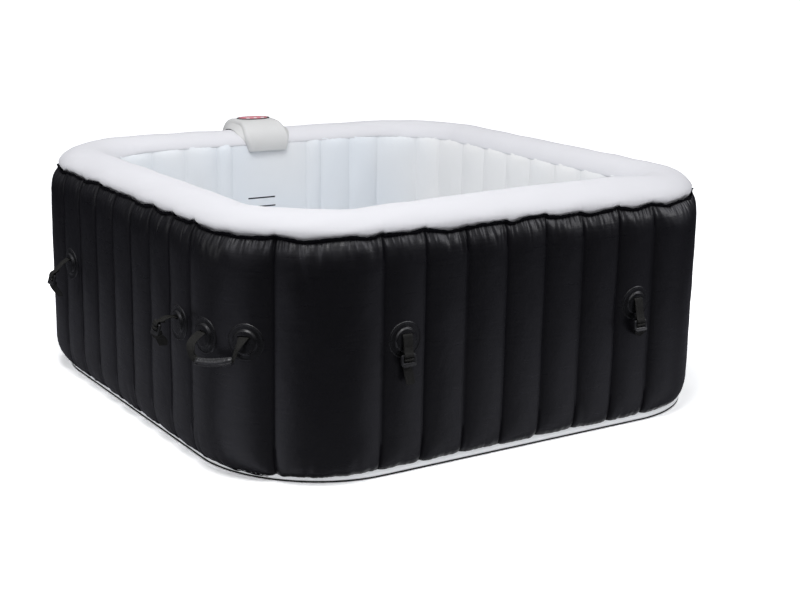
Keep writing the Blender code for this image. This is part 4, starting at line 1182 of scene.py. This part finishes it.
DOWN = Vector((0, 0, -1))
STRAPS = [("front_left", 0, -STRAP_RUN, 0.0470, 3.0), ("front_right", 0, STRAP_RUN, 0.0570, 6.0),
          ("right_front", 1, -STRAP_RUN, 0.0570, 4.0), ("right_back", 1, STRAP_RUN, 0.0570, 4.0),
          ("back_right", 2, -STRAP_RUN, 0.0570, 4.0), ("back_left", 2, STRAP_RUN, 0.0570, 4.0),
          ("left_back", 3, -STRAP_RUN, 0.0600, 12.0), ("left_front", 3, STRAP_RUN, 0.0470, 12.0)]
# how each loose tail hangs: (down from the bar, out from the buckle, along the wall)
TWISTED = {"left_front": 52.0, "left_back": 30.0}
TAIL_STRAIGHT = [(0.0420, -0.0042, 0.0), (0.0560, -0.0018, 0.0), (0.0680, 0.0002, 0.0), (0.0755, 0.0008, 0.0)]
TAILS = {
    "front_left": [(0.0400, -0.0042, -0.0010), (0.0540, -0.0014, -0.0028), (0.0680, 0.0010, -0.0042), (0.0755, 0.0020, -0.0048)],
    "front_right": [(0.0350, -0.0085, -0.0050), (0.0385, -0.0125, -0.0120), (0.0405, -0.0150, -0.0200), (0.0415, -0.0160, -0.0280)],
    "left_back": [(0.0370, -0.0090, -0.0010), (0.0450, -0.0160, -0.0020), (0.0540, -0.0250, -0.0025), (0.0620, -0.0325, -0.0020)],
    "left_front": [(0.0335, -0.0090, 0.0010), (0.0380, -0.0165, 0.0015), (0.0450, -0.0230, 0.0015), (0.0560, -0.0270, 0.0010)],
}


def buckle_plate(name, matrix):
    """A ladder buckle: a rounded frame, two slots and a thumb tab."""
    edge = round_box(-0.0200, 0.0200, -0.0262, -0.0020, 0.0034, 5)
    lower = [(-0.0200, -0.0240), (-0.0190, -0.0268), (-0.0160, -0.0292), (-0.0125, -0.0300), (0.0125, -0.0300),
             (0.0160, -0.0292), (0.0190, -0.0268), (0.0200, -0.0240)]
    keep = [p for p in edge if p[1] > -0.0226]
    right = [p for p in keep if p[0] > 0]
    left = [p for p in keep if p[0] <= 0]
    ring = lower + sorted(right, key=lambda p: (p[1], -p[0])) + sorted(left, key=lambda p: (-p[1], -p[0]))
    windows = [round_box(-0.0150, 0.0150, -0.0122, -0.0062, 0.0012, 3), round_box(-0.0150, 0.0150, -0.0222, -0.0160, 0.0012, 3)]
    plate = flat_plate(name, [ring] + windows, 0.0032, 0.0010, Matrix.Identity(4), buckle_look.mat, 2)
    for v in plate.data.vertices:
        # rails stand proud, cross bars are drawn in and the tab is flicked outwards
        rail = smoothstep(np.array((abs(v.co.x) - 0.0145) / 0.003)).item()
        v.co.z *= 0.72 + 0.28 * rail
        if v.co.y < -0.0225:
            v.co.z += 0.45 * (-0.0225 - v.co.y)
    plate.data.transform(matrix)
    return plate


def strap_looks(label, side, run, reach, hang):
    u0 = OUTER.at(side, run)
    disc_skin("disc_" + label, "anchor_" + label, u0, STRAP_Z, STRAP_SLIT, 0.0155)
    swing, bar = JOINTS["strap_%s_swing" % label], JOINTS["buckle_%s_swing" % label]
    hinge, bar_at = Vector(swing["pos_m"]), Vector(bar["pos_m"])
    axis = Vector(swing["axis"])
    out = axis.cross(DOWN)
    fall = (bar_at - hinge).normalized()
    flat = fall.cross(axis) * -1
    if flat.dot(out) < 0:
        flat.negate()
    if abs(flat.dot(out)) < 0.35 and flat.z < 0:
        flat.negate()
    angle = math.radians(hang)
    drop = DOWN * math.cos(angle) + out * math.sin(angle)
    face = out * math.cos(angle) - DOWN * math.sin(angle)
    away = math.degrees(math.acos(max(-1, min(1, fall.dot(DOWN)))))
    bow = flat * (0.0016 + 0.0042 * max(0.0, (away - 20) / 60))
    middle = reach * 0.52
    path = smooth_path([hinge - out * 0.0085 + Vector((0, 0, 0.0002)), hinge - out * 0.0048 + Vector((0, 0, 0.0004)),
                        hinge - out * 0.0012 + Vector((0, 0, 0.0004)) + fall * 0.0002,
                        hinge + fall * 0.0042 + flat * 0.0006 + bow * 0.25, hinge + fall * 0.012 + bow * 0.8,
                        hinge + fall * (middle * 0.72) + bow, hinge + fall * middle + bow * 0.9], 5)
    upper = strip("webbing_upper_" + label, path, axis, 0.0268, 0.0017, webbing.mat)
    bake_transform(upper)
    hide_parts("strap_" + label)

    def at(v, o, side_shift=0.0):
        return bar_at + drop * v + face * o + axis * side_shift

    back = flat * -0.0011
    pts = [hinge + fall * (middle - 0.0015) + bow * 0.9, hinge + fall * (middle + 0.006) + bow * 0.7,
           hinge + fall * (reach - 0.0095) + flat * 0.0014 + bow * 0.15, at(-0.0035, 0.0026), at(0.0005, 0.0046),
           at(0.0040, 0.0052), at(0.0074, 0.0044), at(0.0092, 0.0010), at(0.0084, -0.0030), at(0.0055, -0.0048),
           at(0.0015, -0.0044), at(-0.0035, -0.0026)]
    pts.append(hinge + fall * (reach - 0.0120) + back)
    pts.append(hinge + fall * (reach - 0.0180) + back)
    lower = strip("webbing_lower_" + label, smooth_path(pts, 5), axis, 0.0262, 0.0015, webbing.mat)
    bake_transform(lower)
    # local frame of the buckle: x along the axis, y down negative, z outwards
    matrix = Matrix((
        (axis.x, -drop.x, face.x, bar_at.x), (axis.y, -drop.y, face.y, bar_at.y), (axis.z, -drop.z, face.z, bar_at.z),
        (0, 0, 0, 1)))
    if matrix.to_3x3().determinant() < 0:
        matrix = matrix @ Matrix.Diagonal((-1, 1, 1, 1))
    plate = buckle_plate("ladder_" + label, matrix)
    face_out(plate)
    plate.data.set_sharp_from_angle(angle=math.radians(40))
    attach(plate, "buckle_" + label)
    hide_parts("buckle_" + label)
    pts = [at(0.0113, -0.0026), at(0.0113, 0.0010), at(0.0121, 0.0038), at(0.0140, 0.0050), at(0.0160, 0.0042),
           at(0.0179, 0.0016), at(0.0190, -0.0018), at(0.0206, -0.0048), at(0.0240, -0.0058), at(0.0300, -0.0056)]
    pts += [at(*p) for p in TAILS.get(label, TAIL_STRAIGHT)]
    path = smooth_path(pts, 5)
    widths = []
    for i in range(len(path)):
        left = len(path) - 1 - i
        widths.append(0.0262 if left > 4 else 0.0262 * (0.74 + 0.065 * left))
    across = [axis] * len(path)
    if label in TWISTED:
        # this tail turns as it falls, until its flat face looks along the wall
        for i in range(len(path)):
            turn = math.radians(TWISTED[label]) * smoothstep(np.array((i / (len(path) - 1) - 0.34) / 0.40)).item()
            across[i] = axis * math.cos(turn) + out * math.sin(turn)
    tail = strip("webbing_tail_" + label, path, across, widths, 0.0015, webbing.mat)
    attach(tail, "buckle_" + label)


for label, side, run, reach, hang in STRAPS:
    strap_looks(label, side, run, reach, hang)
print("straps ready")


# ------------------------------------------------------------------ carrying handles
def handle_looks(label, side):
    runs = [STRAIGHT + OUTER_R * math.radians(angle) for angle in HANDLE_ANGLES]
    joint = JOINTS["handle_%s_lift" % label]
    middle, axis = Vector(joint["pos_m"]), Vector(joint["axis"])
    out = axis.cross(DOWN)
    along = -axis                     # from the first disc towards the second
    angle = math.radians(33.0)
    drop = DOWN * math.cos(angle) + out * math.sin(angle)
    face = out * math.cos(angle) - DOWN * math.sin(angle)
    body = "handle_" + label
    ends = []
    lifts = (-0.0040, 0.0035)         # each slit below or above the hinge line
    for index, run in enumerate(runs):
        u = OUTER.at(side, run)
        z = STRAP_Z + 0.001 + 0.004 * index
        disc_skin("handle_disc_%s_%d" % (label, index + 1), "handle_anchor_%s_%d" % (label, index + 1), u,
                  z, STRAP_Z + HANDLE_SLIT + lifts[index] - z, 0.0150)
        x, y, _, _ = [float(v) for v in OUTER.place(np.array(u), OUT_FLUTES.bulge(np.array([u]))[0] + GAP + DOME_H + 0.0048)]
        ends.append((Vector((x, y, STRAP_Z + HANDLE_SLIT)) - middle).dot(along))

    def at(s, d, o=0.0):
        return middle + along * s + drop * d + face * o

    for index, s in enumerate(ends):
        turn = 1 if s > 0 else -1
        start = middle + along * s + Vector((0, 0, lifts[index]))
        end_s, end_d = GRIP_ENDS[index]
        if index == 0:
            # bows well out before it turns back into the grip
            pts = [start - out * 0.0120, start - out * 0.0070, start - out * 0.0020 + drop * 0.0004,
                   start + drop * 0.0060 + face * 0.0030, start + drop * 0.0180 + face * 0.0100 - along * 0.0025,
                   start + drop * 0.0340 + face * 0.0160 - along * 0.0020, start + drop * 0.0500 + face * 0.0150 + along * 0.0030,
                   start + drop * 0.0620 + face * 0.0085 + along * 0.0090, at(end_s + 0.0010, end_d - 0.0042, 0.0010),
                   at(end_s + 0.0100, end_d - 0.0010)]
            lean, narrow = 0.62, 0.0150
        else:
            pts = [start - out * 0.0120, start - out * 0.0070, start - out * 0.0020 + drop * 0.0006,
                   start + drop * 0.0070 + face * 0.0014, start + drop * 0.0160 + face * 0.0026 - along * 0.0006,
                   start + drop * 0.0270 + face * 0.0032 - along * 0.0018, start + drop * 0.0380 + face * 0.0028 - along * 0.0030,
                   start + drop * 0.0490 + face * 0.0016 - along * 0.0040, at(end_s + 0.0020, end_d - 0.0034, 0.0006),
                   at(end_s - 0.0090, end_d - 0.0002)]
            lean, narrow = 0.50, 0.0112
        path = smooth_path(pts, 5)
        n = len(path)
        widths, folds, acrosses = [], [], []
        for i in range(n):
            t = i / (n - 1)
            shut = smoothstep(np.array((t - (0.38 if index == 0 else 0.22)) / lean)).item()
            widths.append(0.0272 * (1 - shut) + narrow * shut)
            folds.append((0.0040 if index == 0 else 0.0052) * shut)
            swing = smoothstep(np.array((t - 0.62) / 0.36)).item()
            acrosses.append((axis * (1 - swing) + drop * (turn * -swing)).normalized())
        piece = strip("handle_web_%s_%d" % (label, index + 1), path, acrosses, widths, 0.0017, webbing.mat, fold=folds)
        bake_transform(piece)
    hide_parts("handle_webbing_" + label)
    n = 61
    (s0, d0), (s1, d1) = GRIP_ENDS
    line, radii = [], []
    for i in range(n):
        f = i / (n - 1)
        t = 2 * f - 1
        sag = 0.0050 * (1 - t * t)
        line.append(at(s0 + (s1 - s0) * f, d0 + (d1 - d0) * f + sag - 0.0016))
        closing = max(0.0, (abs(t) - 0.84) / 0.16)
        radii.append(0.0104 * math.sqrt(max(0.05, 1 - 0.66 * closing * closing)) * (1 + 0.016 * math.sin(i * 1.3)))

    def lobes(a, i):
        t = -1 + 2 * i / (n - 1)
        return (1 + 0.085 * math.cos(2 * a + 0.5) + 0.055 * math.cos(5 * a + 1.1 * t) + 0.035 * math.cos(9 * a + 2.0 + 1.6 * t)
                + 0.018 * math.cos(13 * a - 2.4 * t) + 0.012 * math.sin(i * 0.9 + 3 * a))

    grip = tube("grip_" + label, line, radii, grip_look.mat, 72, True, lobes)
    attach(grip, body)
    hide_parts("handle_grip_" + label)
    # the pinched, sewn edge of the grip's cover runs along its underside
    fin = []
    for i in range(1, n - 1):
        fin.append(line[i] + (drop * 0.86 + face * 0.50).normalized() * (radii[i] * 1.13))
    seam = strip("grip_seam_" + label, fin, [(drop * 0.86 + face * 0.50)] * len(fin),
                 [0.0030 + 0.0009 * math.sin(i * 1.9) * math.sin(i * 0.37) for i in range(len(fin))], 0.0011, grip_look.mat)
    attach(seam, body)


handle_looks("front", 3)
handle_looks("back", 1)
print("handles ready")


# ------------------------------------------------------------------ control console
CONSOLE_X = -0.0100
# the side profile, front foot over the top to the back foot: (y, z, half width)
CONSOLE_LINE = [(0.5830, 0.5900, 0.0690), (0.5815, 0.6000, 0.0712), (0.5822, 0.6110, 0.0742), (0.5850, 0.6230, 0.0768),
                (0.5905, 0.6350, 0.0780), (0.5985, 0.6470, 0.0778), (0.6085, 0.6580, 0.0762), (0.6200, 0.6680, 0.0738),
                (0.6320, 0.6750, 0.0718), (0.6440, 0.6788, 0.0705), (0.6560, 0.6804, 0.0700), (0.6750, 0.6812, 0.0700),
                (0.6950, 0.6814, 0.0700), (0.7150, 0.6810, 0.0705), (0.7330, 0.6790, 0.0712), (0.7480, 0.6740, 0.0725),
                (0.7600, 0.6655, 0.0740), (0.7690, 0.6540, 0.0755), (0.7750, 0.6410, 0.0765), (0.7780, 0.6270, 0.0765),
                (0.7790, 0.6130, 0.0755), (0.7790, 0.6000, 0.0740)]


def console_cover():
    """A moulded cover: the side profile drawn in towards both ends, then side walls down to the rim."""
    line = CONSOLE_LINE
    n = len(line)
    hub = (0.6810, 0.6000)
    edge_r = 0.0135
    stations = []
    for k in range(9):
        a = math.radians(90 * k / 8)
        stations.append((edge_r * (1 - math.sin(a)), edge_r * (1 - math.cos(a))))
    # (distance in from the end, distance drawn in towards the hub); from the end to the flat top
    halves = [(dx, drop) for dx, drop in [(edge_r * (1 - math.sin(math.radians(q))), edge_r * (1 - math.cos(math.radians(q))))
                                          for q in (90, 78, 66, 54, 42, 30, 18, 8, 0)]]
    columns = []
    ends = [(dx, drop) for dx, drop in halves]
    # run x from -W to W
    ordered = [(-1, dx, drop) for dx, drop in ends] + [(0, 0, 0)] * 7 + [(1, dx, drop) for dx, drop in reversed(ends)]
    # (the first station sits on the end itself, drawn in by the full radius)
    points = []
    count = len(ordered)
    middle_at = [-0.75, -0.5, -0.25, 0.0, 0.25, 0.5, 0.75]
    m = 0
    for sign, dx, drop in ordered:
        for y, z, half in line:
            away = Vector((y - hub[0], z - hub[1]))
            length = away.length
            if sign:
                shrink = edge_r * (1 - math.sqrt(max(0.0, 1 - (1 - dx / edge_r) ** 2)))
                x = CONSOLE_X + sign * (half - dx)
                away *= 1 - shrink / length
            else:
                inner = half - edge_r
                x = CONSOLE_X + middle_at[m] * inner
            crown = 0.0006 * (1 - ((x - CONSOLE_X) / 0.07) ** 2) if z > 0.675 else 0.0
            points.append((x, hub[0] + away.x, hub[1] + away.y + crown))
        if not sign:
            m += 1
    faces = []
    for c in range(count - 1):
        for i in range(n - 1):
            a = c * n + i
            faces.append((a, a + 1, a + n + 1, a + n))
    # side walls: from each end's outline down to a line that follows the rim
    rim_line = []
    for i, (y, z, half) in enumerate(line):
        t = i / (n - 1)
        rim_line.append(t)
    clearance = []
    for out, z in RIM_LINE:
        y = GROOVE_HALF + out
        away = Vector((y - 0.6790, z - 0.6000))
        away *= 1 + 0.0026 / max(away.length, 0.02)
        clearance.append((0.6790 + away.x, 0.6000 + away.y))
    clearance = clearance[::-1]          # front (inner) foot to the back (outer) foot
    lengths = [0.0]
    for p, q in zip(clearance, clearance[1:]):
        lengths.append(lengths[-1] + math.hypot(q[0] - p[0], q[1] - p[1]))

    def along(t):
        d = t * lengths[-1]
        for k in range(len(lengths) - 1):
            if d <= lengths[k + 1] or k == len(lengths) - 2:
                f = (d - lengths[k]) / (lengths[k + 1] - lengths[k])
                p, q = clearance[k], clearance[k + 1]
                return p[0] + (q[0] - p[0]) * f, p[1] + (q[1] - p[1]) * f

    outline_len = [0.0]
    for p, q in zip(line, line[1:]):
        outline_len.append(outline_len[-1] + math.hypot(q[0] - p[0], q[1] - p[1]))
    for sign, column in ((-1, 0), (1, count - 1)):
        start = len(points)
        for i in range(n):
            t = outline_len[i] / outline_len[-1]
            y, z = along(t)
            top = points[column * n + i]
            # the side walls splay out where they cross the top of the rim
            x = CONSOLE_X + sign * (line[i][2] - 0.0002 + 0.0270 * math.sin(math.pi * min(1.0, t * 1.04)) ** 1.2)
            for f in (0.34, 0.68, 1.0):
                points.append((top[0] + (x - top[0]) * f, top[1] + (y - top[1]) * f, top[2] + (z - top[2]) * f))
            # turned in under the edge
            points.append((x - sign * 0.0030, y, z + 0.0004))
        for i in range(n - 1):
            chain_a = [column * n + i] + [start + 4 * i + k for k in range(4)]
            chain_b = [column * n + i + 1] + [start + 4 * (i + 1) + k for k in range(4)]
            for k in range(4):
                faces.append((chain_a[k], chain_b[k], chain_b[k + 1], chain_a[k + 1]))
    obj = mesh_object("console_cover", points, faces, shell_grey.mat)
    face_out(obj)
    bm = bmesh.new()
    bm.from_mesh(obj.data)
    bmesh.ops.remove_doubles(bm, verts=bm.verts, dist=5e-5)
    bmesh.ops.recalc_face_normals(bm, faces=bm.faces)
    bm.to_mesh(obj.data)
    bm.free()
    obj.data.shade_smooth()
    obj.data.set_sharp_from_angle(angle=math.radians(50))
    # open window for the display
    rx, ry = size.x / 2 - 0.0035, size.y / 2 - 0.0035
    window = [(rx * math.cos(2 * math.pi * i / 64), ry * math.sin(2 * math.pi * i / 64)) for i in range(64)]
    thicken(obj, 0.0018)
    cutter = flat_plate("window_cutter", [window], 0.02, 0.0001, Matrix.Translation((centre.x, centre.y, 0.681)), None, 0)
    hole = obj.modifiers.new("window", "BOOLEAN")
    hole.operation = "DIFFERENCE"
    hole.solver = "EXACT"
    hole.object = cutter
    bpy.context.view_layer.update()
    mesh = bpy.data.meshes.new_from_object(obj.evaluated_get(bpy.context.evaluated_depsgraph_get()))
    obj.modifiers.clear()
    obj.data = mesh
    mesh.materials.clear()
    mesh.materials.append(shell_grey.mat)
    mesh.shade_smooth()
    mesh.set_sharp_from_angle(angle=math.radians(38))
    bpy.data.objects.remove(cutter, do_unlink=True)
    return obj


cover = console_cover()
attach(cover, "tub")
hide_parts("console_shell")


def display_border():
    n, around = 96, 8
    points, faces = [], []
    for i in range(n):
        a = 2 * math.pi * i / n
        rx, ry = size.x / 2 - 0.0002, size.y / 2 - 0.0002
        home = Vector((centre.x + rx * math.cos(a), centre.y + ry * math.sin(a), middle[0].z + 0.0012))
        away = Vector((math.cos(a) / rx, math.sin(a) / ry, 0)).normalized()
        for k in range(around):
            p = 2 * math.pi * k / around
            points.append(home + away * (0.0013 * math.cos(p)) + Vector((0, 0, 0.0016 * math.sin(p))))
    for i in range(n):
        for k in range(around):
            i2, k2 = (i + 1) % n, (k + 1) % around
            faces.append((i * around + k, i * around + k2, i2 * around + k2, i2 * around + k))
    obj = mesh_object("display_border", points, faces, case_black.mat)
    face_out(obj)
    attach(obj, "tub")


display_border()
print("console ready")

# ------------------------------------------------------------------ CAD nodes that stay: their materials
KEPT = {
    "baffle_web": web, "display_lens": panel, "power_button": key_look, "heat_button": key_look,
    "bubble_button": key_look, "equipment_case": case_black, "pump_body": pump_look, "pump_impeller": fitting,
    "air_blower": case_black, "blower_fan": fitting, "heater_tube": steel, "circuit_board": board,
    "suction_fitting": fitting, "filter_cartridge": filter_look, "filter_cap": fitting, "return_fitting": fitting,
    "air_valve": case_black, "air_valve_cap": case_black, "drain_valve": case_black, "drain_cap": case_black,
    "power_cable": cable_look, "power_plug": case_black,
}
for name, look in KEPT.items():
    obj = NODES[name]
    obj.data.materials.clear()
    obj.data.materials.append(look.mat)

# ------------------------------------------------------------------ floor, light and camera
FLOOR_STRIPS = ((-40.0, 27.0, 1.35), (-180.0, 30.0, 2.6), (128.0, 20.0, 0.3))
floor_look = Look("studio_floor", (0.90, 0.90, 0.905), 0.75, specular=0.15)
tone = floor_look.ramp(floor_look.noise(0.6, 2), [(0.3, (0.80, 0.80, 0.805)), (0.7, (0.82, 0.82, 0.825))])
seen = floor_look.add("ShaderNodeLightPath")
reach = floor_look.add("ShaderNodeVectorMath", operation="LENGTH")
floor_look.link(floor_look.where, reach.inputs[0])
# seen in reflections the floor darkens away from the tub: a painted pool of light around it
mirrored = floor_look.ramp(floor_look.remap(reach.outputs["Value"], 0.8, 4.2), [
    (0.0, (0.34, 0.34, 0.38)), (0.22, (0.20, 0.20, 0.23)), (0.5, (0.08, 0.08, 0.095)), (1.0, (0.03, 0.03, 0.04))])
# seen in reflections, the floor is brighter towards two bearings, as if lit by upright strips there
back_ray = floor_look.add("ShaderNodeNewGeometry").outputs["Incoming"]
flat_ray = floor_look.add("ShaderNodeVectorMath", operation="MULTIPLY")
flat_ray.inputs[1].default_value = (-1, -1, 0)
floor_look.link(back_ray, flat_ray.inputs[0])
unit_ray = floor_look.add("ShaderNodeVectorMath", operation="NORMALIZE")
floor_look.link(flat_ray.outputs["Vector"], unit_ray.inputs[0])
glow = None
for bearing, width, strength in FLOOR_STRIPS:
    dot = floor_look.add("ShaderNodeVectorMath", operation="DOT_PRODUCT")
    dot.inputs[1].default_value = (math.cos(math.radians(bearing)), math.sin(math.radians(bearing)), 0.0)
    floor_look.link(unit_ray.outputs["Vector"], dot.inputs[0])
    fade = floor_look.add("ShaderNodeMapRange", interpolation_type="SMOOTHSTEP")
    fade.inputs["From Min"].default_value = math.cos(math.radians(width))
    fade.inputs["From Max"].default_value = 1.0
    fade.inputs["To Max"].default_value = strength
    floor_look.link(dot.outputs["Value"], fade.inputs["Value"])
    add = floor_look.add("ShaderNodeMath", operation="ADD")
    floor_look.link(fade.outputs["Result"], add.inputs[0])
    if glow is None:
        add.inputs[1].default_value = 0.60
    else:
        floor_look.link(glow, add.inputs[1])
    glow = add.outputs["Value"]
banded = floor_look.add("ShaderNodeVectorMath", operation="SCALE")
floor_look.link(mirrored, banded.inputs[0])
floor_look.link(glow, banded.inputs["Scale"])
mirrored = banded.outputs["Vector"]
first = floor_look.add("ShaderNodeMix", data_type="RGBA")
floor_look.link(seen.outputs["Is Glossy Ray"], first.inputs["Factor"])
floor_look.link(tone, first.inputs["A"])
floor_look.link(mirrored, first.inputs["B"])
second = floor_look.add("ShaderNodeMix", data_type="RGBA")
floor_look.link(seen.outputs["Is Camera Ray"], second.inputs["Factor"])
floor_look.link(first.outputs["Result"], second.inputs["A"])
second.inputs["B"].default_value = (1.9, 1.9, 1.9, 1)
matte = floor_look.add("ShaderNodeBsdfDiffuse")
floor_look.link(second.outputs["Result"], matte.inputs["Color"])
floor_look.link(matte.outputs["BSDF"], floor_look.tree.nodes["Material Output"].inputs["Surface"])
bpy.ops.mesh.primitive_plane_add(size=60, location=(0, 0, -0.0004))
floor = bpy.context.object
floor.name = "studio_floor"
floor.data.materials.append(floor_look.mat)

world = bpy.data.worlds.new("studio")
bpy.context.scene.world = world
world.use_nodes = True
tree = world.node_tree
rays = tree.nodes.new("ShaderNodeLightPath")
ray = tree.nodes.new("ShaderNodeTexCoord")
split = tree.nodes.new("ShaderNodeSeparateXYZ")
tree.links.new(ray.outputs["Generated"], split.inputs["Vector"])
rise = tree.nodes.new("ShaderNodeValToRGB")
for element, (position, value) in zip([rise.color_ramp.elements[0], rise.color_ramp.elements.new(0.32),
                                       rise.color_ramp.elements.new(0.62), rise.color_ramp.elements[-1]],
                                      [(0.0, (0.12, 0.12, 0.14)), (0.32, (0.25, 0.25, 0.28)), (0.62, (1.2, 1.2, 1.3)),
                                       (1.0, (2.2, 2.2, 2.3))]):
    element.position = position
    element.color = (*value, 1)
tree.links.new(split.outputs["Z"], rise.inputs["Fac"])


def strip_light(bearing, width, strength):
    """A soft upright strip that only reflections see: bearing in degrees from +X, width in degrees."""
    aim = (math.cos(math.radians(bearing)), math.sin(math.radians(bearing)), 0.0)
    flatten = tree.nodes.new("ShaderNodeVectorMath")
    flatten.operation = "MULTIPLY"
    flatten.inputs[1].default_value = (1, 1, 0)
    tree.links.new(ray.outputs["Generated"], flatten.inputs[0])
    unit = tree.nodes.new("ShaderNodeVectorMath")
    unit.operation = "NORMALIZE"
    tree.links.new(flatten.outputs["Vector"], unit.inputs[0])
    dot = tree.nodes.new("ShaderNodeVectorMath")
    dot.operation = "DOT_PRODUCT"
    dot.inputs[1].default_value = aim
    tree.links.new(unit.outputs["Vector"], dot.inputs[0])
    fade = tree.nodes.new("ShaderNodeMapRange")
    fade.interpolation_type = "SMOOTHSTEP"
    fade.inputs["From Min"].default_value = math.cos(math.radians(width))
    fade.inputs["From Max"].default_value = 1.0
    fade.inputs["To Max"].default_value = strength
    tree.links.new(dot.outputs["Value"], fade.inputs["Value"])
    return fade.outputs["Result"]
ambient = tree.nodes["Background"]
ambient.inputs["Color"].default_value = (0.97, 0.98, 1.0, 1)
ambient.inputs["Strength"].default_value = 0.66
glossy = tree.nodes.new("ShaderNodeBackground")
tree.links.new(rise.outputs["Color"], glossy.inputs["Color"])
power = None
for bearing, width, strength in ((-26.0, 30.0, 1.9), (-166.0, 26.0, 1.5), (152.0, 20.0, 0.2), (-86.0, 12.0, 0.45)):
    one_strip = strip_light(bearing, width, strength)
    add = tree.nodes.new("ShaderNodeMath")
    add.operation = "ADD"
    tree.links.new(one_strip, add.inputs[0])
    if power is None:
        add.inputs[1].default_value = 0.42
    else:
        tree.links.new(power, add.inputs[1])
    power = add.outputs["Value"]
tree.links.new(power, glossy.inputs["Strength"])
clear = tree.nodes.new("ShaderNodeBackground")
clear.inputs["Color"].default_value = (1, 1, 1, 1)
one, two = tree.nodes.new("ShaderNodeMixShader"), tree.nodes.new("ShaderNodeMixShader")
tree.links.new(rays.outputs["Is Glossy Ray"], one.inputs["Fac"])
tree.links.new(ambient.outputs["Background"], one.inputs[1])
tree.links.new(glossy.outputs["Background"], one.inputs[2])
tree.links.new(rays.outputs["Is Camera Ray"], two.inputs["Fac"])
tree.links.new(one.outputs["Shader"], two.inputs[1])
tree.links.new(clear.outputs["Background"], two.inputs[2])
tree.links.new(two.outputs["Shader"], tree.nodes["World Output"].inputs["Surface"])


def area(name, at, aim, size_m, power, colour=(1, 1, 1)):
    light = bpy.data.lights.new(name, "AREA")
    light.shape = "RECTANGLE"
    light.size, light.size_y = size_m
    light.energy = power
    light.color = colour
    obj = bpy.data.objects.new(name, light)
    bpy.context.scene.collection.objects.link(obj)
    obj.location = at
    obj.rotation_euler = (Vector(aim) - Vector(at)).to_track_quat("-Z", "Y").to_euler()
    return obj


area("top_softbox", (-0.9, -0.8, 3.3), (0, 0, 0.4), (1.7, 1.5), 54)
area("left_softbox", (-4.2, 1.6, 1.5), (-0.6, 0, 0.3), (1.2, 2.0), 7)
area("right_softbox", (3.4, -2.8, 2.4), (0.2, -0.2, 0.3), (1.2, 1.4), 16)

camera_data = bpy.data.cameras.new("camera")
camera = bpy.data.objects.new("camera", camera_data)
bpy.context.scene.collection.objects.link(camera)
camera_data.sensor_width = 36.0
camera_data.lens = 64.77
camera_data.clip_start, camera_data.clip_end = 0.05, 100
yaw, pitch, roll = math.radians(33.304), math.radians(14.357), math.radians(1.128)
forward = Vector((math.sin(yaw) * math.cos(pitch), math.cos(yaw) * math.cos(pitch), -math.sin(pitch)))
right = Vector((math.cos(yaw), -math.sin(yaw), 0))
upward = right.cross(forward)
c, s = math.cos(roll), math.sin(roll)
right2, up2 = right * c + upward * s, upward * c - right * s
camera.matrix_world = Matrix(((right2.x, up2.x, -forward.x, -2.1832), (right2.y, up2.y, -forward.y, -3.5089),
                              (right2.z, up2.z, -forward.z, 1.2819), (0, 0, 0, 1)))
bpy.context.scene.camera = camera
bpy.context.scene.view_settings.view_transform = "Standard"
bpy.context.scene.view_settings.look = "None"
